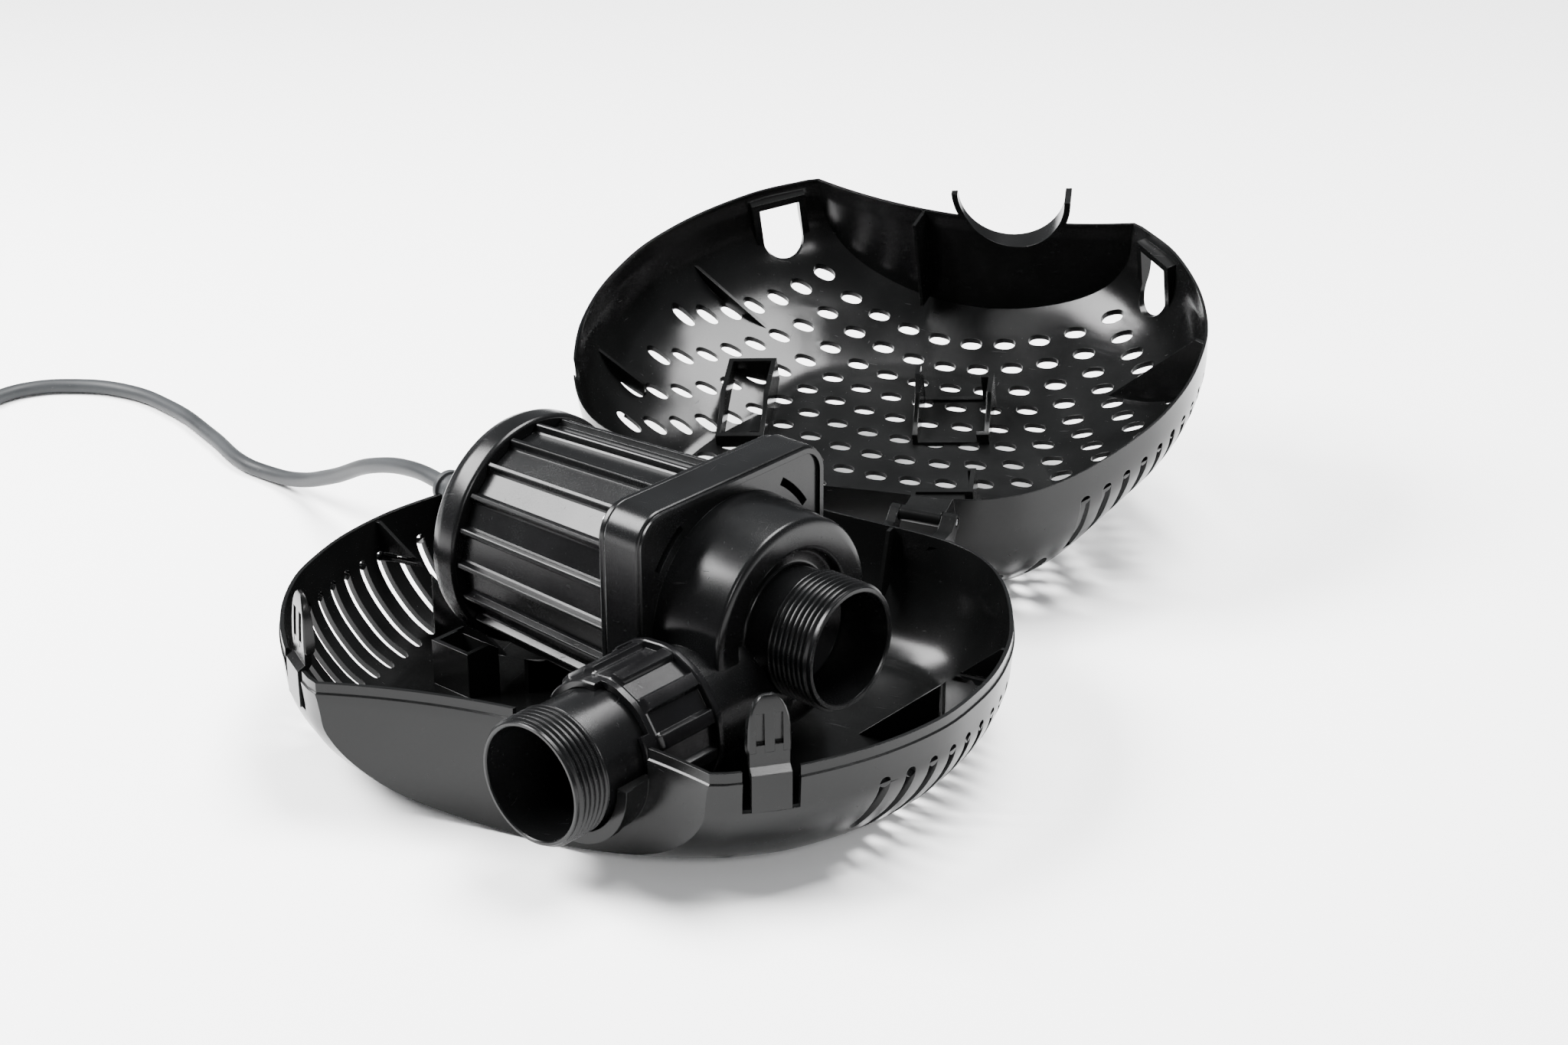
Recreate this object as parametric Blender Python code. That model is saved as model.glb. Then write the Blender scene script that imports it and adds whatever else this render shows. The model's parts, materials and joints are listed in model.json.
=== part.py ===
"""Fountain pump in its two-part filter shell, lid open.

Every size is in millimetres; solids are scaled to metres as they become meshes.
X runs along the lid's hinge, -Y is the shell's front wall with the outlet, +Z is up.
"""

import math

import bmesh
import bpy
from mathutils import Matrix, Vector

MM = 0.001
GAP = 0.35  # clearance between neighbouring pieces

# Where the model stands: the floor is z = 0 and the whole assembly is centred on the origin.
CENTRE_Y = 107.2

# Filter shell
RIM_Z = 50.7
WALL = 2.4
RIM_OUTLINE = [
    (0, 113.7), (40, 109.8), (73, 106), (89, 101), (102, 92), (112.5, 79.7), (121, 65.5), (128, 50.3),
    (133.7, 33.5), (137.2, 12), (137, -8), (133, -31.5), (121, -58), (103, -82), (87, -95), (77, -101),
    (50, -111), (0, -121),
]  # right half, back to front
SPAN_STEPS = 10  # samples between two outline points
SPINE_SHARE = 0.45  # sections shrink towards a spine this share of their width
SPINE_Y = -5
FRONT_HALF = 76.9  # front wall: half width, corner and arch
FRONT_Y = -100.9
FRONT_ARCH = 12.7
BOWL = [(0, 0), (1, 11), (2.3, 20), (8, 31), (18, 42), (30, 48.7), (39, RIM_Z)]  # inset, depth
DOME = [(0, 0), (1, 15), (3.4, 24), (9, 34), (19, 43), (33, 50.5), (62, 61), (76, 63.3)]  # inset, height
BOWL_REAR = 0.35  # how much steeper the back is than the sides
DOME_REAR = 0.64
REAR_FROM, REAR_TO = 40, 105
SIDE_COUNT = 14  # section points on each side and on each half of the front
FRONT_COUNT = 5
CAVITY_RISE = 24  # how far the cavity cutters run past the rim
LID_GAP = 0.3  # between the two rims when the lid is shut
LID_WALL = 2.2
TRIM = 0.8  # rib work is cut off this far inside the outer surface
PAST = 3  # how far a cutter runs past the face that it opens
SHELL_REACH = 150  # sideways, past the shell's widest place

# Rib work of the two shell halves; boxes stand in the pump's direction, heights are from the floor
RIB_FOOT = 1.2
GUSSET_THICK, GUSSET_OUT, GUSSET_PAST = 1.8, 40, 8
LOWER_GUSSET = ((131, 28, RIM_Z - 1), (76, 28, WALL))
LID_GUSSET = ((-133, -51, 69), (-80, -46, RIM_Z + DOME[-1][1] - 1))
LID_STUB = ((-137, 27, 70), (-121, 22, 86))
LID_FRONT_RIB = ((-20, -90, RIM_Z + 1.3), (-18.4, -76, 96))
POCKET = ((-132, -42, RIB_FOOT), (-112, -26, 21), 2)  # low corner, high corner, wall
CRADLE = [((-38, -30), (-36, 30), 22), ((-10, -30), (-8, 16), 14), ((-31, -14), (-17, 14), 7),
          ((-100, -24), (-98, 24), 20)]  # low corner, high corner, height
SOCKET_WALL = 2.2
SOCKETS = [((-129.6, -55, 98.5), (-107.6, -7)), ((-41, -41, 98.5), (-7, -7)), ((-38, 26, 99), (-9, 43))]
SOCKET_SIDES = [((-41.2, -40.8, 93), (-39.2, -7.2, 105)), ((-8.8, -40.8, 98), (-6.8, -7.2, 105))]
ROOM_R, ROOM_SPAN = 48.4, (-131, 18)  # kept free for the pump's body
ROOM_SIDE, ROOM_FRONT, ROOM_BACK = 2, 1, 5.6  # kept free round the flange and the screw heads behind it

# Hinge
HINGE_Y = 118.3
HINGE_Z = 52.1
OPEN_ANGLE = 164.57
BARREL_R = 3.2
PIN_R = 1.4
KNUCKLES = [(50, 54), (72, 78)]  # on the lower shell, from the middle outwards
LID_KNUCKLE = (54.4, 71.6)
PIN_SPAN = (50.4, 77.6)
LOWER_WEB_FOOT = [(103, 33), (108.5, 33), (118.3, 48.9)]  # (y, z)
LOWER_WEB_TOP = [(112, 50.3), (103, 50.3)]
LID_WEB_FOOT = [(103, RIM_Z + LID_GAP), (115.4, RIM_Z + LID_GAP + 0.2)]
LID_WEB_TOP = [(112, 62), (103, 66)]

# Side slots
SLOT_WIDTH = 4
SLOT_PITCH = 10.25
LOWER_SLOT_FIRST, LOWER_SLOT_COUNT = -55, 11
LID_SLOT_FIRST, LID_SLOT_COUNT = -17.6, 10
LOWER_SLOT_X, LID_SLOT_X = 108, 92  # the slots' inner ends
LID_SLOT_DEPTH = 1.1  # the lid's are only grooves
SLOT_FROM_RIM = 13.5
LID_SLOT_TOP = 42

# Perforated dome
HOLE_LONG, HOLE_WIDE = 10.4, 5.6
HOLE_PITCH_X, HOLE_PITCH_Y = 15.8, 13.8
HOLE_FIRST_Y, HOLE_ROWS = -67, 14
HOLE_BEND = 0.0032  # each row falls back towards the front by this times x squared
HOLE_INSET = 9  # holes keep this far inside the rim outline
HOLE_FRONT = 14  # and this far behind the front wall
HOLE_LOW = 20  # the cutters start this far above the rim
HOLE_REAR = 0.3

# Pump placement
PUMP_X, PUMP_Z = 48.83, 58.8
PUMP_YAW = -15.99
OUTLET_DROP = 19.4

# Outlet collar
COLLAR_FACE = 101.2
COLLAR_R = 24.3
COLLAR_WALL = 2.8
COLLAR_BACK = 80
SADDLE_LAP = 0.7  # the saddle is this much thicker than the lid's half of the collar
CHANNEL_TOP = 12

# Latches, in a frame along the wall: origin at one end of the opening, s along, n outwards
LATCH_START = (87.2, -94.7)
LATCH_END = (102.6, -81.8)
LATCH_OPENING = (-0.5, 19.5)
LATCH_STEM = (2.5, 16.5)
LATCH_HEAD = (1.9, 17.1)
LATCH_ROOT = 16  # below the rim
LATCH_TOP = 26  # above the rim
LATCH_BEND = 2  # the line that the tongue bends about, above its root
LATCH_STEM_SIDE = [(-2.2, -LATCH_ROOT + GAP), (0, -LATCH_ROOT + GAP), (0, -1.6), (-2.9, 0.3), (-2.9, 8),
                   (-5.4, 8), (-5.4, 0.3), (-2.2, -4)]  # (n, z)
LATCH_HEAD_RINGS = [(5, 2.9, 6.2, 0), (6.5, 2.8, 7.2, 0), (20, 3.8, 6.6, 0.4), (24.5, 4.2, 6.2, 2.6),
                    (LATCH_TOP, 4.4, 6.0, 5)]  # height, front, back, narrowing
WINDOW = (0, 19)
WINDOW_SPAN = (7.5, 34.5)
WINDOW_REACH = (-16, 10)  # through the wall, along the latch frame's n

# Pump, along its own X axis (towards the inlet)
INLET_FACE, INLET_R, INLET_BORE = 42.2, 23.9, 20.7
NECK_R = 22.4
DRUM_FRONT, DRUM_R_FRONT, DRUM_R_BACK = 15.3, 40.6, 43
RECESS_R, RECESS_DEPTH = 28.9, 4
FLANGE_FRONT, FLANGE_BACK, PLATE_THICK = -13.5, -33, 2.7
FLANGE_HALF, FLANGE_CORNER = 50, 12
CHAMBER_R, CHAMBER_FRONT, CHAMBER_STEP = 37, 11, 1.5
EYE_R = 13
DRUM_EDGE = 2.4
SCREW_AT, SCREW_R, SCREW_HOLE_R, SCREW_HEAD_R, SCREW_HEAD, SCREW_TIP = 40.2, 1.9, 2.3, 3.6, 3, -21
THREAD_FROM = 22.3
THREAD_PITCH, THREAD_DEPTH = 2.31, 1.1
RIB_COUNT, RIB_FIRST = 20, 17.45
RIB_R_BACK, RIB_R_FRONT, RIB_HEIGHT, RIB_HALF = 44, 47.5, 3.2, 1.3
MOTOR_BACK, CAP_BACK = -113.4, -126.9
CAP_R, CAP_EDGE_R = 45.8, 43.6
MOTOR_BORE = 38.5
GLAND_PLUG_R = 6.4
GLAND_PROFILE = [(0, 9.5), (5.65, 9.5), (6.65, 7), (23.65, 4.6)]  # behind the cap: distance, radius
GLAND_INSIDE = 6

# Outlet, along its own -Y axis
SPIGOT_FACE, SPIGOT_R, SPIGOT_BORE = 118.4, 23.5, 20.8
SPIGOT_NECK, SPIGOT_THREAD_END = 22.6, 103
BRANCH_END, BRANCH_BORE = 74, 18.5
NUT_BACK, NUT_FRONT, NUT_RIB_FRONT, NUT_RIB_BACK = 51.8, 86.3, 80, 55
NUT_R, NUT_RIB_R, NUT_RING_R = 25.9, 28, 28.8
NUT_RIBS, NUT_FIRST_RIB, NUT_RIB_HALF = 12, 20, 5.5
NUT_TAB_LENGTH = 3.4
NUT_BORE, NUT_BORE_SPAN = 24.6, (73, 82)

# Wet end and motor
SHAFT_R = 3
SHAFT_SPAN = (-97, 9)
ROTOR_R, ROTOR_SPAN = 15.5, (-88, -27)
CAN_R, CAN_WALL, CAN_BACK, CAN_DISC = 18.2, 1.2, -102, (-17, -13.5)
STATOR_R, STATOR_SPAN = 37.8, (-88, -48)
WINDING_R, WINDING_FRONT, WINDING_REAR = (20, 34), (-47.6, -35.5), (-100, -88.4)
BEARING_FRONT, BEARING_REAR = (-25.5, -18.5), (-99, -91)
IMPELLER_R, IMPELLER_SPAN = 33, (-9, 8)
VANES = 6

# Cable
CABLE_R = 3.4
GLAND_Y, GLAND_Z = 10, -6
GROMMET = (-119.6, 65.2)  # the middle of the wall
GROMMET_OUT = (-0.883, 0.469)
GROMMET_SEAT_R, GROMMET_SEAT_HALF = 6.2, 12
FLOOR_LIFT = 0.2
CABLE_STEP = 16  # between two points of the cable's tube
COIL_X, COIL_Y, COIL_R, COIL_HALF = -515.4, 95, 59, 20.4
COIL_LOW, COIL_HIGH = 1.6, 28.8
COIL_SIDE = COIL_R + COIL_HALF + CABLE_R + GAP  # where the cable lies against the coil
TIE_CLEAR, TIE_REACH, TIE_WIDTH = 0.4, 1.4, 5
TAIL_LENGTH = 95
PLUG_Z, PLUG_R, PLUG_RELIEF = 19, 18.7, 30
PLUG_PIN_R, PIN_PITCH = 2.4, 19


# ---------------------------------------------------------------- scene and materials
def clear_scene():
    for obj in list(bpy.data.objects):
        bpy.data.objects.remove(obj, do_unlink=True)


def material(name, colour, roughness, metallic=0.0):
    found = bpy.data.materials.new(name)
    found.use_nodes = True
    shader = found.node_tree.nodes["Principled BSDF"]
    shader.inputs["Base Color"].default_value = (*colour, 1)
    shader.inputs["Roughness"].default_value = roughness
    shader.inputs["Metallic"].default_value = metallic
    found.diffuse_color = (*colour, 1)
    return found


def empty(name, parent=None, location=(0, 0, 0), rotation=(0, 0, 0)):
    """An empty at a place in millimetres, turned by degrees."""
    made = bpy.data.objects.new(name, None)
    bpy.context.scene.collection.objects.link(made)
    made.parent = parent
    made.location = Vector(location) * MM
    made.rotation_euler = [math.radians(angle) for angle in rotation]
    return made


# ---------------------------------------------------------------- solids as (points, faces)
def loft(rings, closed=False):
    """Rings of equal length joined side by side, capped at both ends unless closed into a loop."""
    count = len(rings[0])
    points = [point for ring in rings for point in ring]
    faces = []
    last = len(rings) if closed else len(rings) - 1
    for k in range(last):
        here = k * count
        there = ((k + 1) % len(rings)) * count
        for i in range(count):
            j = (i + 1) % count
            faces.append((here + i, here + j, there + j, there + i))
    if not closed:
        faces.append(tuple(range(count)))
        faces.append(tuple(len(points) - count + i for i in range(count)))
    return points, faces


def joined(*solids):
    points, faces = [], []
    for some_points, some_faces in solids:
        start = len(points)
        points += some_points
        faces += [tuple(start + i for i in face) for face in some_faces]
    return points, faces


def moved(solid, matrix):
    points, faces = solid
    return [tuple(matrix @ Vector(point)) for point in points], faces


def mirrored(solid):
    points, faces = solid
    return [(-x, y, z) for x, y, z in points], faces


def box(low, high):
    rings = []
    for z in (low[2], high[2]):
        rings.append([(low[0], low[1], z), (high[0], low[1], z), (high[0], high[1], z), (low[0], high[1], z)])
    return loft(rings)


def prism(outline, start, end, place):
    """An outline of (a, b) pairs pushed from start to end; place turns (a, b, depth) into a point."""
    return loft([[place(a, b, depth) for a, b in outline] for depth in (start, end)])


def along_x(a, b, depth):
    return (depth, a, b)


def along_y(a, b, depth):
    return (a, depth, b)


def along_z(a, b, depth):
    return (a, b, depth)


def arc(radius, start, end, count, centre=(0, 0)):
    """Points on an arc, degrees from +a towards +b."""
    angles = [math.radians(start + (end - start) * i / count) for i in range(count + 1)]
    return [(centre[0] + radius * math.cos(t), centre[1] + radius * math.sin(t)) for t in angles]


def circle(radius, count, centre=(0, 0)):
    return arc(radius, 0, 360, count, centre)[:-1]


def turned(profile, count, closed=True):
    """A profile of (x, radius) spun about X; a closed one makes a ring, an open one has flat ends."""
    return loft([[(x, a, b) for a, b in circle(radius, count)] for x, radius in profile], closed)


def thread(start, end, radius):
    """Profile points of turned thread crests from start towards end."""
    crests = int(abs(end - start) / THREAD_PITCH)
    step = math.copysign(THREAD_PITCH, end - start)
    points = []
    for k in range(crests):
        at = start + k * step
        points += [(at, radius - THREAD_DEPTH), (at + 0.5 * step, radius)]
    points.append((start + crests * step, radius - THREAD_DEPTH))
    return points


def rounded_square(half, corner, steps):
    points = []
    for turn, (sx, sy) in enumerate([(1, 1), (-1, 1), (-1, -1), (1, -1)]):
        centre = (sx * (half - corner), sy * (half - corner))
        points += arc(corner, 90 * turn, 90 * turn + 90, steps, centre)
    return points


# ---------------------------------------------------------------- objects
def node(name, solid, skin, parent, helper=False):
    """An object with that solid as its mesh, in its parent's frame."""
    points, faces = solid
    mesh = bpy.data.meshes.new(name)
    mesh.from_pydata([tuple(c * MM for c in point) for point in points], [], faces)
    work = bmesh.new()
    work.from_mesh(mesh)
    bmesh.ops.recalc_face_normals(work, faces=work.faces)
    work.to_mesh(mesh)
    work.free()
    mesh.shade_smooth()
    mesh.set_sharp_from_angle(angle=math.radians(32))
    made = bpy.data.objects.new(name, mesh)
    bpy.context.scene.collection.objects.link(made)
    made.parent = parent
    if helper:
        made.hide_render = True
        made.display_type = "WIRE"
    else:
        mesh.materials.append(skin)
    return made


def helper(name, solid, parent):
    return node(name, solid, None, parent, helper=True)


def boolean(target, operation, other, crossing=False, solver="EXACT"):
    """A Boolean modifier; crossing is for a mesh whose own bodies run into each other."""
    change = target.modifiers.new(f"{operation.lower()} {other.name}", "BOOLEAN")
    change.operation = operation
    change.solver = solver
    change.use_self = crossing
    change.object = other


# ---------------------------------------------------------------- shell sections
def spline(points, steps):
    """A smooth curve through points, whose ends meet their own mirror image at x = 0."""
    before = (-points[1][0], points[1][1])
    after = (-points[-2][0], points[-2][1])
    padded = [before, *points, after]
    curve = []
    for k in range(1, len(padded) - 2):
        a, b, c, d = (Vector(p) for p in padded[k - 1 : k + 3])
        for i in range(steps):
            t = i / steps
            curve.append(
                0.5 * (2 * b + (c - a) * t + (2 * a - 5 * b + 4 * c - d) * t**2
                       + (3 * b - a - 3 * c + d) * t**3)
            )
    curve.append(Vector(points[-1]))
    return curve


def smooth_step(value):
    t = min(max(value, 0), 1)
    return t * t * (3 - 2 * t)


def front_y(x):
    """The arched front wall."""
    return FRONT_Y + FRONT_ARCH * (1 - (x / FRONT_HALF) ** 2)


def inset_curve(inset, rear):
    """The right half of the rim outline moved towards the spine."""
    curve = []
    for point in spline(RIM_OUTLINE, SPAN_STEPS):
        towards = (Vector((SPINE_SHARE * point.x, SPINE_Y)) - point).normalized()
        steeper = rear * smooth_step((point.y - REAR_FROM) / (REAR_TO - REAR_FROM))
        curve.append(point + towards * inset * (1 - steeper))
    return curve


def evenly(curve, count):
    """count + 1 points evenly spaced along a polyline."""
    lengths = [0.0]
    for a, b in zip(curve, curve[1:]):
        lengths.append(lengths[-1] + (b - a).length)
    found = []
    k = 0
    for i in range(count + 1):
        want = lengths[-1] * i / count
        while k < len(curve) - 2 and lengths[k + 1] < want:
            k += 1
        span = lengths[k + 1] - lengths[k]
        t = (want - lengths[k]) / span if span else 0
        found.append(curve[k].lerp(curve[k + 1], t))
    return found


def section(inset, rear, front_inset, z):
    """One level of the shell: the inset outline, cut off by the front wall."""
    curve = inset_curve(inset, rear)
    wall = [point.y - front_y(point.x) - front_inset for point in curve]
    cut = next((k for k in range(1, len(curve)) if wall[k] < 0), None)
    if cut is None:
        cut = len(curve) - 2
        side, front = curve[: cut + 1], curve[cut:]
    else:
        corner = curve[cut - 1].lerp(curve[cut], wall[cut - 1] / (wall[cut - 1] - wall[cut]))
        side = [*curve[:cut], corner]
        xs = [corner.x * (1 - i / FRONT_COUNT) for i in range(FRONT_COUNT + 1)]
        front = [Vector((x, front_y(x) + front_inset)) for x in xs]
    half = evenly(side, SIDE_COUNT) + evenly(front, FRONT_COUNT)[1:]
    whole = half + [Vector((-point.x, point.y)) for point in half[-2:0:-1]]
    return [(point.x, point.y, z) for point in whole]


def offset_profile(profile, distance):
    """The profile moved square to itself, towards the inside of the shell."""
    moved_points = []
    for k, (inset, depth) in enumerate(profile):
        before = Vector(profile[max(k - 1, 0)])
        after = Vector(profile[min(k + 1, len(profile) - 1)])
        along = (after - before).normalized()
        if k == 0:
            along = Vector((0, 1))
        if k == len(profile) - 1:
            along = Vector((1, 0))
        moved_points.append((inset + along.y * distance, depth - along.x * distance))
    return moved_points


def shell_solid(profile, rear, thickness, up, rim_z, rise=0):
    """The shell's shape as one solid; with a thickness it is the cavity, run past the rim by rise."""
    levels = offset_profile(profile, thickness) if thickness else profile
    sign = 1 if up else -1
    rings = []
    if rise:
        rings.append(section(levels[0][0], rear, thickness, rim_z - sign * rise))
    for inset, depth in levels:
        rings.append(section(inset, rear, thickness, rim_z + sign * depth))
    return loft(rings)


# ---------------------------------------------------------------- frames
PUMP = Matrix.Translation((PUMP_X, 0, PUMP_Z)) @ Matrix.Rotation(math.radians(PUMP_YAW), 4, "Z")
FLAT_PUMP = Matrix.Translation((0, 0, -PUMP_Z)) @ PUMP  # the same with its origin on the floor
HINGE = Matrix.Translation((0, HINGE_Y, HINGE_Z))


def latch_frame(side):
    """Matrix of a latch's frame: X along the opening, Y outwards, Z up from the rim."""
    start, end = Vector((*LATCH_START, 0)), Vector((*LATCH_END, 0))
    along = (end - start).normalized()
    out = Vector((along.y, -along.x, 0))
    frame = Matrix.Identity(4)
    for row in range(3):
        frame[row][0] = along[row]
        frame[row][1] = out[row]
        frame[row][3] = start[row]
    frame[2][3] = RIM_Z
    if side < 0:
        return Matrix.Scale(-1, 4, (1, 0, 0)) @ frame
    return frame


def in_latch_frames(solid):
    """A solid drawn in the latch frame, on both sides of the shell."""
    return joined(*[moved(solid, latch_frame(side)) for side in (1, -1)])


def both_sides(solid):
    return joined(solid, mirrored(solid))


# ---------------------------------------------------------------- shell details
def slots(first, count, inner_x, low, high):
    cuts = []
    for k in range(count):
        y = first + k * SLOT_PITCH
        cut = box((inner_x, y - SLOT_WIDTH / 2, low), (SHELL_REACH, y + SLOT_WIDTH / 2, high))
        cuts.append(both_sides(cut))
    return joined(*cuts)


def grommet_place():
    """Matrix of the cable's way through the rim: X outwards, origin in the wall."""
    turn = Vector((1, 0, 0)).rotation_difference(Vector((*GROMMET_OUT, 0))).to_matrix().to_4x4()
    return Matrix.Translation((*GROMMET, RIM_Z)) @ turn


def grommet_seat():
    ends = [(-GROMMET_SEAT_HALF, GROMMET_SEAT_R), (GROMMET_SEAT_HALF, GROMMET_SEAT_R)]
    return moved(turned(ends, 16, closed=False), grommet_place())


def knuckle_bores():
    ends = (KNUCKLES[0][0] - PAST, KNUCKLES[1][1] + PAST)
    bore = turned([(x, PIN_R + GAP) for x in ends], 16, closed=False)
    return both_sides(moved(bore, HINGE))


def gusset(at_rim, inside):
    """A thin upright plate against the wall, with one straight free edge from the rim to a place inside."""
    start, end = Vector(at_rim), Vector(inside)
    along = Vector((end.x - start.x, end.y - start.y, 0)).normalized()
    across = Vector((-along.y, along.x, 0)) * GUSSET_THICK / 2
    past = math.copysign(GUSSET_PAST, end.z - start.z)
    outside = start - along * GUSSET_OUT
    outline = [start, end, end + Vector((0, 0, past)), Vector((outside.x, outside.y, end.z + past)), outside]
    return loft([[tuple(point + shift) for point in outline] for shift in (-across, across)])


def frame_box(low, high, wall):
    """Four thin walls as one ring, between two heights."""
    outer = [(low[0], low[1]), (high[0], low[1]), (high[0], high[1]), (low[0], high[1])]
    inner = [(low[0] + wall, low[1] + wall), (high[0] - wall, low[1] + wall),
             (high[0] - wall, high[1] - wall), (low[0] + wall, high[1] - wall)]
    rings = [[(x, y, low[2]) for x, y in outer], [(x, y, high[2]) for x, y in outer],
             [(x, y, high[2]) for x, y in inner], [(x, y, low[2]) for x, y in inner]]
    return loft(rings, closed=True)


def pump_room(parent, frame):
    """Cutters that keep the shell's ribs clear of the pump."""
    body = turned([(x, ROOM_R) for x in ROOM_SPAN], 40, closed=False)
    outline = rounded_square(FLANGE_HALF + ROOM_SIDE, FLANGE_CORNER, 4)
    flange = prism(outline, FLANGE_BACK - ROOM_BACK, FLANGE_FRONT + ROOM_FRONT, along_x)
    return [helper("room for the body", moved(body, frame), parent),
            helper("room for the flange", moved(flange, frame), parent)]


def lower_shell(root, skin):
    """Bowl with saddle collar, hinge knuckles, slots and the rib work that holds the pump."""
    shell = node("lower_shell", shell_solid(BOWL, BOWL_REAR, 0, False, RIM_Z), skin, root)
    saddle = arc(COLLAR_R + COLLAR_WALL + SADDLE_LAP, 180, 360, 20, (0, -OUTLET_DROP))
    saddle_block = moved(prism(saddle, -COLLAR_FACE, -COLLAR_BACK, along_y), PUMP)
    boolean(shell, "UNION", helper("saddle block", saddle_block, root))
    cavity = shell_solid(BOWL, BOWL_REAR, WALL, False, RIM_Z, CAVITY_RISE)
    boolean(shell, "DIFFERENCE", helper("lower cavity", cavity, root))

    pieces = [gusset(*LOWER_GUSSET)]
    pieces.append(mirrored(pieces[0]))
    cradle = [box((*low, RIB_FOOT), (*high, top)) for low, high, top in CRADLE]
    pieces.append(moved(joined(frame_box(*POCKET), *cradle), FLAT_PUMP))
    ribs = helper("lower ribs", joined(*pieces), root)
    trim = helper("lower trim", shell_solid(BOWL, BOWL_REAR, TRIM, False, RIM_Z), root)
    boolean(ribs, "INTERSECT", trim, crossing=True)
    for room in pump_room(root, PUMP):
        boolean(ribs, "DIFFERENCE", room)
    boolean(shell, "UNION", ribs)

    brackets = []
    for low, high in KNUCKLES:
        web = [*LOWER_WEB_FOOT, *arc(BARREL_R, -80, 150, 10, (HINGE_Y, HINGE_Z)), *LOWER_WEB_TOP]
        brackets.append(both_sides(prism(web, low, high, along_x)))
    hinge_part = helper("lower brackets", joined(*brackets), root)
    boolean(hinge_part, "DIFFERENCE", helper("lower cavity for brackets", cavity, root))
    boolean(shell, "UNION", hinge_part)

    side = COLLAR_R + COLLAR_WALL + GAP
    channel = [(side, CHANNEL_TOP), (-side, CHANNEL_TOP), (-side, -OUTLET_DROP),
               *arc(COLLAR_R, 180, 360, 20, (0, -OUTLET_DROP)), (side, -OUTLET_DROP)]
    latch_gap = box((LATCH_OPENING[0], -2 * PAST, -LATCH_ROOT), (LATCH_OPENING[1], 2 * PAST, PAST))
    cuts = joined(
        moved(prism(channel, -COLLAR_FACE - PAST, -COLLAR_BACK, along_y), PUMP),
        slots(LOWER_SLOT_FIRST, LOWER_SLOT_COUNT, LOWER_SLOT_X, -PAST, RIM_Z - SLOT_FROM_RIM),
        in_latch_frames(latch_gap),
        grommet_seat(),
        knuckle_bores(),
    )
    boolean(shell, "DIFFERENCE", helper("lower openings", cuts, root))
    return shell


def hole_places():
    """Centres of the dome's drain holes, in staggered rows."""
    edge = inset_curve(HOLE_INSET, HOLE_REAR)
    places = []
    for row in range(HOLE_ROWS):
        middle_y = HOLE_FIRST_Y + row * HOLE_PITCH_Y
        shift = 0.5 * HOLE_PITCH_X * (row % 2)
        for k in range(-HOLE_ROWS, HOLE_ROWS):
            x = (k + 0.5) * HOLE_PITCH_X + shift
            y = middle_y - HOLE_BEND * x * x
            reach = max((p.x for p in edge if abs(p.y - y) < HOLE_PITCH_Y / 2), default=0)
            if abs(x) < reach - HOLE_LONG / 2 and y - HOLE_FRONT > front_y(x):
                places.append((x, y))
    return places


def hole_outline(x, y):
    half, wide = HOLE_LONG / 2, HOLE_WIDE / 2
    shoulder = half - 0.8 * wide
    return [(x + half, y), (x + shoulder, y + wide), (x - shoulder, y + wide),
            (x - half, y), (x - shoulder, y - wide), (x + shoulder, y - wide)]


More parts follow.
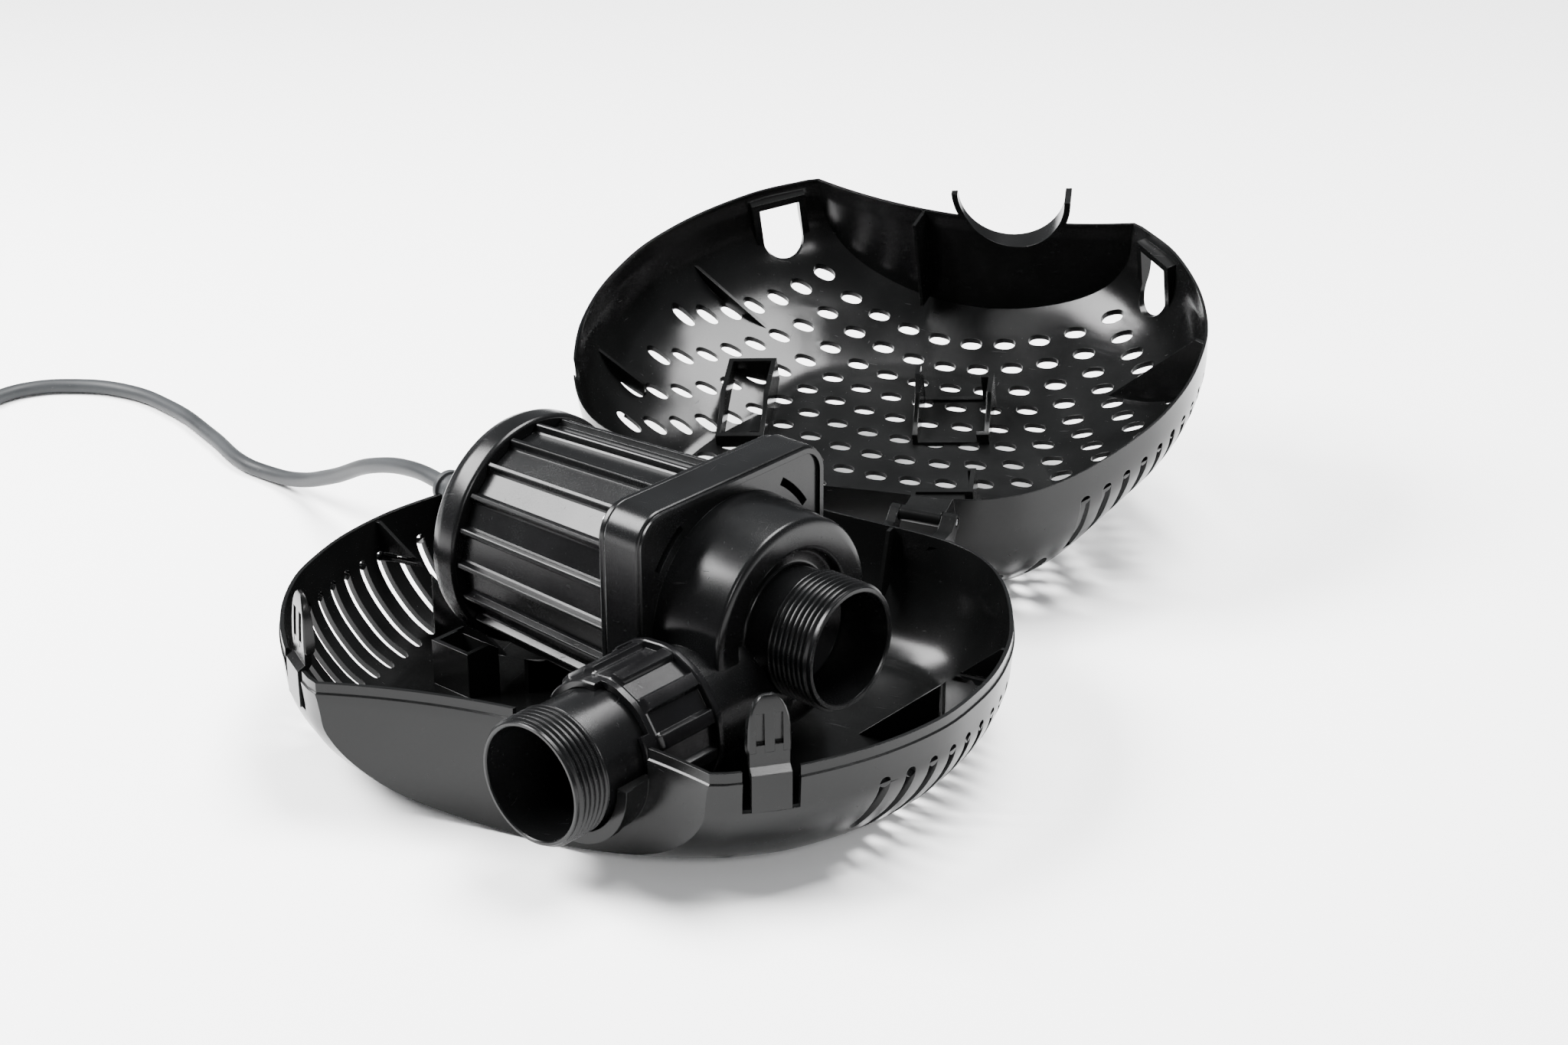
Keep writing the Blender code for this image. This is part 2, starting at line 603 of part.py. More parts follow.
def lid_shell(hinge, skin):
    """Perforated dome with its outlet collar, latch windows, hinge barrels and clamping sockets."""
    to_hinge = HINGE.inverted()
    low = RIM_Z + LID_GAP

    def local(solid):
        return moved(solid, to_hinge)

    shell = node("lid_shell", local(shell_solid(DOME, DOME_REAR, 0, True, low)), skin, hinge)
    arch = [(a, max(b, GAP) - OUTLET_DROP) for a, b in arc(COLLAR_R + COLLAR_WALL, 0, 180, 20)]
    arch_block = moved(prism(arch, -COLLAR_FACE, -COLLAR_BACK, along_y), PUMP)
    boolean(shell, "UNION", helper("arch block", local(arch_block), hinge))
    cavity = local(shell_solid(DOME, DOME_REAR, LID_WALL, True, low, CAVITY_RISE))
    boolean(shell, "DIFFERENCE", helper("lid cavity", cavity, hinge))

    ceiling = RIM_Z + DOME[-1][1] - 1
    pieces = [moved(frame_box(first, (*second, ceiling), SOCKET_WALL), FLAT_PUMP) for first, second in SOCKETS]
    pieces += [both_sides(gusset(*LID_GUSSET)), both_sides(gusset(*LID_STUB)), box(*LID_FRONT_RIB)]
    pieces += [moved(box(*wall), FLAT_PUMP) for wall in SOCKET_SIDES]
    ribs = helper("lid ribs", local(joined(*pieces)), hinge)
    trim = helper("lid trim", local(shell_solid(DOME, DOME_REAR, TRIM, True, low)), hinge)
    boolean(ribs, "INTERSECT", trim, crossing=True)
    for room in pump_room(hinge, to_hinge @ PUMP):
        boolean(ribs, "DIFFERENCE", room)
    boolean(shell, "UNION", ribs)

    web = [*LID_WEB_FOOT, *arc(BARREL_R, 205, 450, 12, (HINGE_Y, HINGE_Z)), *LID_WEB_TOP]
    barrel = both_sides(prism(web, LID_KNUCKLE[0], LID_KNUCKLE[1], along_x))
    arms = helper("lid arms", local(barrel), hinge)
    boolean(arms, "DIFFERENCE", helper("lid cavity for arms", cavity, hinge))
    boolean(shell, "UNION", arms)

    tunnel = [*arc(COLLAR_R, 0, 180, 20, (0, -OUTLET_DROP)),
              (-COLLAR_R, -OUTLET_DROP - 2 * PAST), (COLLAR_R, -OUTLET_DROP - 2 * PAST)]
    window = box((WINDOW[0], WINDOW_REACH[0], WINDOW_SPAN[0]), (WINDOW[1], WINDOW_REACH[1], WINDOW_SPAN[1]))
    holes = [prism(hole_outline(x, y), RIM_Z + HOLE_LOW, ceiling + PAST, along_z) for x, y in hole_places()]
    cuts = {
        "lid tunnel": moved(prism(tunnel, -COLLAR_FACE - PAST, -COLLAR_BACK, along_y), PUMP),
        "lid windows": in_latch_frames(window),
        "lid grommet seat": grommet_seat(),
        "lid bores": knuckle_bores(),
    }
    for name, solid in cuts.items():
        boolean(shell, "DIFFERENCE", helper(name, local(solid), hinge))
    bars = slots(LID_SLOT_FIRST, LID_SLOT_COUNT, LID_SLOT_X, RIM_Z + SLOT_FROM_RIM, RIM_Z + LID_SLOT_TOP)
    grooves = helper("lid grooves", local(bars), hinge)
    groove_floor = local(shell_solid(DOME, DOME_REAR, LID_SLOT_DEPTH, True, low, CAVITY_RISE))
    boolean(grooves, "DIFFERENCE", helper("groove floor", groove_floor, hinge))
    boolean(shell, "DIFFERENCE", grooves)
    # EXACT loses the whole shell on this many holes at once
    boolean(shell, "DIFFERENCE", helper("drain holes", local(joined(*holes)), hinge), solver="MANIFOLD")
    return shell


def latch(side, root, skin):
    """A springy tongue with a ribbed wedge head. Its parent stands on the line that it bends about."""
    name = "latch_right" if side > 0 else "latch_left"
    frame = latch_frame(side)
    pivot = frame @ Vector((0, LATCH_STEM_SIDE[0][0] / 2, -LATCH_ROOT + LATCH_BEND))
    anchor = empty(f"{name}_root", root, pivot)
    stem = prism(LATCH_STEM_SIDE, LATCH_STEM[0], LATCH_STEM[1], along_x)
    head_rings = []
    for height, front, back, narrow in LATCH_HEAD_RINGS:
        low, high = LATCH_HEAD[0] + narrow, LATCH_HEAD[1] - narrow
        head_rings.append([(low, -back, height), (high, -back, height), (high, -front, height), (low, -front, height)])
    place = Matrix.Translation(-pivot) @ frame
    body = node(name, moved(stem, place), skin, anchor)
    boolean(body, "UNION", helper(f"{name} head", moved(loft(head_rings), place), anchor))
    return body


def hinge_pin(side, root, skin):
    name = "hinge_pin_right" if side > 0 else "hinge_pin_left"
    pin = turned([(PIN_SPAN[0], PIN_R), (PIN_SPAN[1], PIN_R)], 12, closed=False)
    pin = moved(pin, HINGE)
    return node(name, pin if side > 0 else mirrored(pin), skin, root)


# ---------------------------------------------------------------- pump housings
def screw_places():
    return [(SCREW_AT * a, SCREW_AT * b) for a, b in [(1, 1), (-1, 1), (-1, -1), (1, -1)]]


def screw_bores(start, end):
    return joined(*[prism(circle(SCREW_HOLE_R, 10, place), start, end, along_x) for place in screw_places()])


def volute_housing(pump, skin):
    """Square flange, drum, threaded inlet and the outlet branch, hollowed for the impeller."""
    back = FLANGE_BACK + PLATE_THICK + GAP
    flange = prism(rounded_square(FLANGE_HALF, FLANGE_CORNER, 4), back, FLANGE_FRONT, along_x)
    body = node("volute_housing", flange, skin, pump)
    recess_floor = DRUM_FRONT - RECESS_DEPTH
    drum = [(FLANGE_FRONT - 2 * PAST, DRUM_R_BACK), (DRUM_FRONT - DRUM_EDGE, DRUM_R_FRONT),
            (DRUM_FRONT, DRUM_R_FRONT - DRUM_EDGE), (DRUM_FRONT, RECESS_R), (recess_floor, RECESS_R - 0.6),
            (recess_floor, NECK_R), (THREAD_FROM - GAP, NECK_R), *thread(THREAD_FROM, INLET_FACE - 0.8, INLET_R),
            (INLET_FACE, INLET_R - THREAD_DEPTH)]
    boolean(body, "UNION", helper("drum", turned(drum, 32, closed=False), pump))
    branch = prism(circle(NECK_R, 24, (0, -OUTLET_DROP)), -BRANCH_END, -8, along_y)
    boolean(body, "UNION", helper("branch", branch, pump))
    seat = CHAMBER_R + CHAMBER_STEP
    chamber = [(back - PAST, seat), (-12, seat), (-12, CHAMBER_R), (CHAMBER_FRONT - 1, CHAMBER_R),
               (CHAMBER_FRONT - 1, EYE_R), (16, EYE_R + 1), (20, INLET_BORE), (INLET_FACE + PAST, INLET_BORE)]
    boolean(body, "DIFFERENCE", helper("chamber", turned(chamber, 32, closed=False), pump))
    throat = prism(circle(BRANCH_BORE - 2, 24, (0, -OUTLET_DROP)), -BRANCH_END - 2, -22, along_y)
    boolean(body, "DIFFERENCE", helper("throat", throat, pump))
    bores = screw_bores(back - PAST, SCREW_TIP + PAST)
    boolean(body, "DIFFERENCE", helper("screw holes", bores, pump))
    return body


def motor_flange(pump, skin):
    plate = prism(rounded_square(FLANGE_HALF - 0.8, FLANGE_CORNER, 4), FLANGE_BACK, FLANGE_BACK + PLATE_THICK, along_x)
    body = node("motor_flange", plate, skin, pump)
    span = (FLANGE_BACK - PAST, FLANGE_BACK + PLATE_THICK + PAST)
    hole = prism(circle(CAN_R + GAP, 32), *span, along_x)
    boolean(body, "DIFFERENCE", helper("flange holes", joined(hole, screw_bores(*span)), pump))
    return body


def ribbed_ring(radius, x, count, first, height, half_width):
    """One section of a ribbed barrel: flat facets with narrow upright ribs between them."""
    ring = []
    inner = radius - height
    for k in range(count):
        angle = math.radians(first + 360 / count * k)
        out = Vector((math.cos(angle), math.sin(angle)))
        side = Vector((-out.y, out.x))
        for across, reach in [(-1.5, inner), (-0.8, radius), (0.8, radius), (1.5, inner)]:
            ring.append((x, *(out * reach + side * across * half_width)))
    return ring


def motor_housing(pump, skin):
    front = FLANGE_BACK - GAP
    back = MOTOR_BACK + GAP
    count = RIB_COUNT * 4
    rings = [ribbed_ring(RIB_R_FRONT, front, RIB_COUNT, RIB_FIRST, RIB_HEIGHT, RIB_HALF),
             ribbed_ring(RIB_R_BACK, back, RIB_COUNT, RIB_FIRST, RIB_HEIGHT, RIB_HALF)]
    for x in (back, front):
        turn = RIB_FIRST - 360 / count * 1.5
        rings.append([(x, a, b) for a, b in arc(MOTOR_BORE, turn, turn + 360, count)[:-1]])
    return node("motor_housing", loft(rings, closed=True), skin, pump)


def rear_cap(pump, skin):
    """Cup that closes the motor, with an off-centre hole for the cable gland."""
    cup = [(MOTOR_BACK, MOTOR_BORE), (MOTOR_BACK, CAP_R - 1), (MOTOR_BACK - 1.2, CAP_R), (CAP_BACK + 5, CAP_R),
           (CAP_BACK + 1, CAP_EDGE_R + 0.6), (CAP_BACK, CAP_EDGE_R - 1)]
    body = node("rear_cap", turned([*cup, (CAP_BACK, 8)], 32, closed=False), skin, pump)
    room = turned([(MOTOR_BACK + 2, MOTOR_BORE + 2), (MOTOR_BACK - 1, MOTOR_BORE + 2), (MOTOR_BACK - 1, MOTOR_BORE),
                   (CAP_BACK + 3, MOTOR_BORE - 2)], 32, closed=False)
    boolean(body, "DIFFERENCE", helper("cap room", room, pump))
    hole = prism(circle(GLAND_PLUG_R + GAP, 16, (GLAND_Y, GLAND_Z)), CAP_BACK - PAST, MOTOR_BACK + PAST, along_x)
    boolean(body, "DIFFERENCE", helper("gland hole", hole, pump))
    return body


def flange_screw(index, pump, skin):
    seat = FLANGE_BACK - GAP
    profile = [(seat - SCREW_HEAD, SCREW_HEAD_R), (seat, SCREW_HEAD_R), (seat, SCREW_R), (SCREW_TIP, SCREW_R)]
    screw = turned(profile, 12, closed=False)
    place = Matrix.Translation((0, *screw_places()[index]))
    return node(f"flange_screw_{index + 1}", moved(screw, place), skin, pump)


# ---------------------------------------------------------------- outlet
def out_of_pump(solid):
    """A solid turned about X, laid along the outlet's -Y axis."""
    return moved(solid, Matrix.Rotation(math.radians(-90), 4, "Z"))


def union_nut(outlet, skin):
    """Ribbed nut whose lip holds the spigot's collar against the branch."""

    def ribbed(radius, x):
        ring = []
        for k in range(NUT_RIBS):
            middle = NUT_FIRST_RIB + 360 / NUT_RIBS * k
            for turn, reach in [(-1.25, NUT_R), (-0.8, radius), (0.8, radius), (1.25, NUT_R)]:
                angle = math.radians(middle + turn * NUT_RIB_HALF)
                ring.append((x, reach * math.sin(angle + math.pi / 2), -reach * math.cos(angle + math.pi / 2)))
        return ring

    def plain(radius, x):
        flat = ribbed(NUT_R, x)
        return [(x, radius / NUT_R * a, radius / NUT_R * b) for _, a, b in flat]

    rings = [plain(NECK_R + 0.5, NUT_BACK), plain(NUT_RING_R - 0.6, NUT_BACK), plain(NUT_RING_R, NUT_BACK + 0.7),
             plain(NUT_RING_R, NUT_RIB_BACK - 0.2), ribbed(NUT_RIB_R, NUT_RIB_BACK),
             ribbed(NUT_RIB_R, NUT_RIB_FRONT - 1), ribbed(NUT_R + 0.6, NUT_RIB_FRONT), plain(NUT_R - 0.3, NUT_FRONT),
             plain(SPIGOT_NECK + GAP, NUT_FRONT), plain(SPIGOT_NECK + GAP, NUT_BORE_SPAN[1] + 0.4),
             plain(NUT_BORE, NUT_BORE_SPAN[1]), plain(NUT_BORE, NUT_BORE_SPAN[0]),
             plain(NECK_R + 0.5, NUT_BORE_SPAN[0] - 0.6)]
    body = node("union_nut", out_of_pump(loft(rings, closed=True)), skin, outlet)
    notches = []
    for k in range(3):
        start = 30 + 120 * k
        wedge = [(0, 0), *arc(40, start, start + 60, 6)]
        notches.append(prism(wedge, -NUT_FRONT - PAST, -NUT_FRONT + NUT_TAB_LENGTH, along_y))
    boolean(body, "DIFFERENCE", helper("nut notches", joined(*notches), outlet))
    return body


def outlet_spigot(outlet, skin):
    profile = [(77.4, BRANCH_BORE), (77.4, 24.2), (81.6, 24.2), (81.6, SPIGOT_NECK),
               (SPIGOT_THREAD_END, SPIGOT_NECK), *thread(SPIGOT_THREAD_END + 0.3, SPIGOT_FACE - 0.6, SPIGOT_R),
               (SPIGOT_FACE, SPIGOT_R - THREAD_DEPTH), (SPIGOT_FACE, SPIGOT_BORE), (108, SPIGOT_BORE),
               (102, BRANCH_BORE)]
    return node("outlet_spigot", out_of_pump(turned(profile, 28)), skin, outlet)


def torus_profile(x, radius, thick, count):
    return [(x + a, radius + b) for a, b in circle(thick, count)]


def outlet_seal(outlet, skin):
    return node("outlet_seal", out_of_pump(turned(torus_profile(75.7, 20.6, 1.35, 6), 20)), skin, outlet)


# ---------------------------------------------------------------- motor and impeller
def impeller(pump, skin):
    back, front = IMPELLER_SPAN
    hub = [(back, SHAFT_R + GAP), (back, IMPELLER_R), (back + 2.4, IMPELLER_R), (back + 2.4, 8), (front, 6.5),
           (front, SHAFT_R + GAP)]
    body = node("impeller", turned(hub, 20), skin, pump)
    vanes = []
    for k in range(VANES):
        vane = box((back + 1, -1, 6), (front - 2, 1, IMPELLER_R - 0.8))
        vanes.append(moved(vane, Matrix.Rotation(2 * math.pi * k / VANES, 4, "X")))
    boolean(body, "UNION", helper("vanes", joined(*vanes), pump))
    return body


def ring_piece(name, span, inner, outer, skin, pump, count=20):
    start, end = span
    return node(name, turned([(start, inner), (start, outer), (end, outer), (end, inner)], count), skin, pump)


def rotor_can(pump, skin):
    """Thin cup that keeps the water away from the windings, with the disc that closes the volute."""
    disc_back, disc_front = CAN_DISC
    inner = CAN_R - CAN_WALL
    rim = CHAMBER_R + CHAMBER_STEP - GAP
    profile = [(disc_front, rim), (disc_back, rim), (disc_back, CAN_R), (CAN_BACK, CAN_R)]
    body = node("rotor_can", turned(profile, 32, closed=False), skin, pump)
    room = turned([(disc_front + PAST, inner), (CAN_BACK + 2, inner)], 28, closed=False)
    boolean(body, "DIFFERENCE", helper("can room", room, pump))
    return body


# ---------------------------------------------------------------- cable
def cable_gland(pump, skin):
    """Gland nut with a tapered strain relief."""
    seat = CAP_BACK - GAP
    profile = [(CAP_BACK + GLAND_INSIDE, GLAND_PLUG_R), (seat, GLAND_PLUG_R)]
    profile += [(seat - distance, radius) for distance, radius in GLAND_PROFILE]
    place = Matrix.Translation((0, GLAND_Y, GLAND_Z))
    return node("cable_gland", moved(turned(profile, 16, closed=False), place), skin, pump)


def cable_grommet(root, skin):
    """Rubber ring gripped between the two rims."""
    bore = CABLE_R + 2.5 * GAP
    profile = [(-5.2, bore), (-5.2, 6.6), (-4.7, 7.2), (-2.5, 7.2), (-2.3, 5.7), (2.3, 5.7), (2.5, 7.2), (4.7, 7.2),
               (5.2, 6.6), (5.2, bore)]
    return node("cable_grommet", moved(turned(profile, 14), grommet_place()), skin, root)


def through(points, per_span):
    """A smooth curve through a route's own points."""
    vectors = [Vector(point) for point in points]
    padded = [2 * vectors[0] - vectors[1], *vectors, 2 * vectors[-1] - vectors[-2]]
    curve = []
    for k in range(1, len(padded) - 2):
        a, b, c, d = padded[k - 1 : k + 3]
        for i in range(per_span):
            t = i / per_span
            curve.append(
                0.5 * (2 * b + (c - a) * t + (2 * a - 5 * b + 4 * c - d) * t**2
                       + (3 * b - a - 3 * c + d) * t**3)
            )
    curve.append(vectors[-1])
    return curve


def cord_object(name, route, spacing, skin, root):
    """A tube along a smooth curve through the route, with evenly spaced points."""
    dense = through(route, 24)
    length = sum((b - a).length for a, b in zip(dense, dense[1:]))
    points = evenly(dense, max(2, round(length / spacing)))
    data = bpy.data.curves.new(name, "CURVE")
    data.dimensions = "3D"
    path = data.splines.new("POLY")
    path.points.add(len(points) - 1)
    for target, point in zip(path.points, points):
        target.co = (*(point * MM), 1)
    data.bevel_depth = CABLE_R * MM
    data.bevel_resolution = 2
    data.use_fill_caps = True
    data.materials.append(skin)
    made = bpy.data.objects.new(name, data)
    bpy.context.scene.collection.objects.link(made)
    made.parent = root
    return made


def cable_run(root, skin):
    """The cable from the gland through the grommet and over the floor to the coil."""
    floor = CABLE_R + FLOOR_LIFT
    start = PUMP @ Vector((CAP_BACK - 24.9, GLAND_Y, GLAND_Z))
    second = PUMP @ Vector((CAP_BACK - 29, GLAND_Y + 0.4, GLAND_Z))
    out = Vector((*GROMMET_OUT, 0))
    middle = Vector((*GROMMET, RIM_Z))
    route = [
        start, second, middle - out * 7, middle, middle + out * 7,
        (-150, 82.5, 47.5), (-181, 99, 37), (-214, 116.5, 19), (-243, 130.5, 6.8), (-262, 137.5, floor),
        (-278, 142, floor), (-310, 162, floor), (-348, 183, floor), (-382, 192, floor), (-408, 187, floor),
        (-426, 174, floor), (-433, 156, floor), (-434, 135, floor), (COIL_X + COIL_SIDE, COIL_Y, floor),
    ]
    return cord_object("cable", route, CABLE_STEP, skin, root)


def cable_coil(root, skin):
    """The outer shape of the wound length, standing on its tie."""
    inner, outer = COIL_R - COIL_HALF, COIL_R + COIL_HALF
    ring = [(COIL_LOW, inner), (COIL_LOW, outer), (COIL_HIGH, outer), (COIL_HIGH, inner)]
    levels = [[(COIL_X + a, COIL_Y + b, z) for a, b in circle(radius, 32)] for z, radius in ring]
    return node("cable_coil", loft(levels, closed=True), skin, root)


def coil_tie(root, skin):
    """A strap round the coil, at its back."""
    rings = []
    for reach, x in [(TIE_REACH, 0), (TIE_REACH, TIE_WIDTH), (TIE_CLEAR, TIE_WIDTH), (TIE_CLEAR, 0)]:
        near, far = COIL_Y + COIL_R - COIL_HALF - reach, COIL_Y + COIL_R + COIL_HALF + reach
        low, high = COIL_LOW - reach, COIL_HIGH + reach
        corners = [(near, low), (far, low), (far, high), (near, high)]
        rings.append([(COIL_X - TIE_WIDTH / 2 + x, y, z) for y, z in corners])
    return node("coil_tie", loft(rings, closed=True), skin, root)


def cable_tail(root, skin):
    """The cable's last stretch, from the coil up to the plug."""
    floor = CABLE_R + FLOOR_LIFT
    x = COIL_X - COIL_SIDE
    route = [(x, COIL_Y, floor), (x, COIL_Y + 22, floor), (x, COIL_Y + 45, 6), (x, COIL_Y + 72, 14),
             (x, COIL_Y + TAIL_LENGTH, PLUG_Z)]
    return cord_object("cable_tail", route, CABLE_STEP, skin, root)


def plug_pieces(root, skin, metal):
    """Round two-pin plug with its strain relief, lying on the floor along +Y."""
    place = (COIL_X - COIL_SIDE, COIL_Y + TAIL_LENGTH + 1.2, PLUG_Z)
    plug = empty("plug_axis", root, place, (0, 0, 90))
    relief = [(0, 4.6), (PLUG_RELIEF, 7.6)]
    node("plug_relief", turned(relief, 16, closed=False), skin, plug)
    start = PLUG_RELIEF + GAP
    body = [(start, 9), (start + 7, 14.5), (start + 15, 15.5), (start + 19, PLUG_R), (start + 33, PLUG_R),
            (start + 34, PLUG_R - 1)]
    node("plug_body", turned(body, 24, closed=False), skin, plug)
    face = start + 34 + GAP
    for index, y in enumerate((PIN_PITCH / 2, -PIN_PITCH / 2)):
        pin = turned([(face, PLUG_PIN_R), (face + 18, PLUG_PIN_R), (face + 19, PLUG_PIN_R - 1)], 12, closed=False)
        node(f"plug_pin_{index + 1}", moved(pin, Matrix.Translation((0, y, 0))), metal, plug)


def build():
    clear_scene()
    shell_plastic = material("shell_plastic", (0.012, 0.013, 0.012), 0.45)
    pump_plastic = material("pump_plastic", (0.014, 0.014, 0.014), 0.5)
    nut_plastic = material("nut_plastic", (0.012, 0.012, 0.012), 0.35)
    wheel_plastic = material("impeller_plastic", (0.55, 0.55, 0.5), 0.5)
    rubber = material("cable_rubber", (0.012, 0.012, 0.013), 0.55)
    seal_rubber = material("seal_rubber", (0.02, 0.02, 0.02), 0.7)
    steel = material("steel", (0.6, 0.6, 0.6), 0.25, 1.0)
    ceramic = material("ceramic", (0.8, 0.78, 0.72), 0.3)
    ferrite = material("ferrite", (0.09, 0.09, 0.1), 0.45)
    copper = material("copper", (0.75, 0.33, 0.15), 0.35, 1.0)
    tie_plastic = material("tie_plastic", (0.02, 0.02, 0.02), 0.4)

    root = empty("fountain_pump", None, (0, -CENTRE_Y, 0))
    pump = empty("pump_axis", root, (PUMP_X, 0, PUMP_Z), (0, 0, PUMP_YAW))
    outlet = empty("outlet_axis", pump, (0, 0, -OUTLET_DROP))
    hinge = empty("lid_hinge", root, (0, HINGE_Y, HINGE_Z), (-OPEN_ANGLE, 0, 0))

    lower_shell(root, shell_plastic)
    lid_shell(hinge, shell_plastic)
    for side in (1, -1):
        latch(side, root, shell_plastic)
        hinge_pin(side, root, steel)

    volute_housing(pump, pump_plastic)
    motor_flange(pump, pump_plastic)
    motor_housing(pump, pump_plastic)
    rear_cap(pump, pump_plastic)
    for index in range(4):
        flange_screw(index, pump, steel)
    union_nut(outlet, nut_plastic)
    outlet_spigot(outlet, pump_plastic)
    outlet_seal(outlet, seal_rubber)

    impeller(pump, wheel_plastic)
    ring_piece("rotor_magnet", ROTOR_SPAN, SHAFT_R + GAP, ROTOR_R, ferrite, pump)
    node("rotor_shaft", turned([(SHAFT_SPAN[0], SHAFT_R), (SHAFT_SPAN[1], SHAFT_R)], 12, closed=False), ceramic, pump)
    ring_piece("bearing_front", BEARING_FRONT, SHAFT_R + GAP, CAN_R - CAN_WALL - GAP, ceramic, pump)
    ring_piece("bearing_rear", BEARING_REAR, SHAFT_R + GAP, CAN_R - CAN_WALL - GAP, ceramic, pump)
    rotor_can(pump, pump_plastic)
    node("volute_seal", turned(torus_profile(CAN_DISC[0] - 1.6, 36.6, 1.2, 6), 20), seal_rubber, pump)
    ring_piece("stator_core", STATOR_SPAN, CAN_R + GAP, STATOR_R, steel, pump)
    ring_piece("winding_front", WINDING_FRONT, WINDING_R[0], WINDING_R[1], copper, pump)
    ring_piece("winding_rear", WINDING_REAR, WINDING_R[0], WINDING_R[1], copper, pump)

    cable_gland(pump, rubber)
    cable_grommet(root, rubber)
    cable_run(root, rubber)
    cable_coil(root, rubber)
    coil_tie(root, tie_plastic)
    cable_tail(root, rubber)
    plug_pieces(root, rubber, steel)


build()
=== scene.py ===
import json
import math

import bmesh
import bpy
from mathutils import Matrix, Vector

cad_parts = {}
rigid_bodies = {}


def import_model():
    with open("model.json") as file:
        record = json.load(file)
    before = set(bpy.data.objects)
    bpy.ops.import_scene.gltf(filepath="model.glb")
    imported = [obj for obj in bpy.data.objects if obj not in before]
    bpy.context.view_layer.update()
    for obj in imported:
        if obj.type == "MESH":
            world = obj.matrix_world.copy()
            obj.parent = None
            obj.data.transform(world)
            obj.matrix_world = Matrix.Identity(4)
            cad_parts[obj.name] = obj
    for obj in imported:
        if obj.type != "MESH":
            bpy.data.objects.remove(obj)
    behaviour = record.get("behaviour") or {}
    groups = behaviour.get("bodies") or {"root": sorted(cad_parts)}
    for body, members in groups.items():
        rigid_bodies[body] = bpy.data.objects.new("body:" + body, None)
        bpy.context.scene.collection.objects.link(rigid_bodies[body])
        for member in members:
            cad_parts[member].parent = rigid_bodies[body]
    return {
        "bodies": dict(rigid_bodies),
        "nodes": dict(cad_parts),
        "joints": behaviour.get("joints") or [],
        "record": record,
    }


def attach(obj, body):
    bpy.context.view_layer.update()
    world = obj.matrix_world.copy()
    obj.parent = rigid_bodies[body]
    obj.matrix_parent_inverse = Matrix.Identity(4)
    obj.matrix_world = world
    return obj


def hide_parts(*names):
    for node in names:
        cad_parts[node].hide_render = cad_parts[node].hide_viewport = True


# Looks of the fountain pump. Sizes are in millimetres, before CENTRE_Y is taken off, as in the CAD model;
# meshes are scaled to metres and shifted into the row frame as they are made.

MM = 0.001
GAP = 0.35  # clearance between neighbouring pieces

# Where the model stands: the floor is z = 0 and the whole assembly is centred on the origin.
CENTRE_Y = 107.2

# Filter shell
RIM_Z = 50.7
WALL = 2.4
RIM_OUTLINE = [
    (0, 113.7), (40, 109.8), (73, 106), (89, 101), (102, 92), (112.5, 79.7), (121, 65.5), (128, 50.3),
    (133.7, 33.5), (137.2, 12), (137, -8), (133, -31.5), (121, -58), (103, -82), (87, -95), (77, -101),
    (50, -111), (0, -121),
]  # right half, back to front
SPAN_STEPS = 10  # samples between two outline points
SPINE_SHARE = 0.45  # sections shrink towards a spine this share of their width
SPINE_Y = -5
FRONT_HALF = 76.9  # front wall: half width, corner and arch
FRONT_Y = -100.9
FRONT_ARCH = 12.7
BOWL = [(0, 0), (1, 11), (2.3, 20), (8, 31), (18, 42), (30, 48.7), (39, RIM_Z)]  # inset, depth
DOME = [(0, 0), (1, 15), (3.4, 24), (9, 34), (19, 43), (33, 50.5), (62, 61), (76, 63.3)]  # inset, height
BOWL_REAR = 0.35  # how much steeper the back is than the sides
DOME_REAR = 0.64
REAR_FROM, REAR_TO = 40, 105
SIDE_COUNT = 64  # section points on each side and on each half of the front
FRONT_COUNT = 24
CAVITY_RISE = 24  # how far the cavity cutters run past the rim
LID_GAP = 0.3  # between the two rims when the lid is shut
LID_WALL = 2.2
TRIM = 0.8  # rib work is cut off this far inside the outer surface
PAST = 3  # how far a cutter runs past the face that it opens
SHELL_REACH = 150  # sideways, past the shell's widest place

# Rib work of the two shell halves; boxes stand in the pump's direction, heights are from the floor
RIB_FOOT = 1.2
GUSSET_THICK, GUSSET_OUT, GUSSET_PAST = 1.8, 40, 8
LOWER_GUSSET = ((131, 28, RIM_Z - 1), (76, 28, WALL))
LID_GUSSET_LEFT = ((-138, -51, 59), (-70, -46, RIM_Z + DOME[-1][1] - 1))
LID_GUSSET_RIGHT = ((130, -24, RIM_Z + 1.3), (74, -45, RIM_Z + DOME[-1][1] - 1))
LID_STUB = ((-139, 29, 62), (-113, 24, 88))
LID_FRONT_RIB = ((-20, -90, RIM_Z + 1.3), (-18.4, -76, 96))
POCKET = ((-132, -42, RIB_FOOT), (-112, -26, 21), 2)  # low corner, high corner, wall
CRADLE = [((-38, -30), (-36, 30), 22), ((-10, -30), (-8, 16), 14), ((-31, -14), (-17, 14), 7),
          ((-100, -24), (-98, 24), 20)]  # low corner, high corner, height
SOCKET_WALL = 2.2
SOCKETS = [((-129.6, -55, 98.5), (-107.6, -7)), ((-41, -41, 98.5), (-7, -7)), ((-38, 26, 99), (-9, 43))]
SOCKET_SIDES = [((-41.2, -40.8, 93), (-39.2, -7.2, 105)), ((-8.8, -40.8, 98), (-6.8, -7.2, 105))]
ROOM_R, ROOM_SPAN = 48.4, (-131, 18)  # kept free for the pump's body
ROOM_SIDE, ROOM_FRONT, ROOM_BACK = 2, 1, 5.6  # kept free round the flange and the screw heads behind it

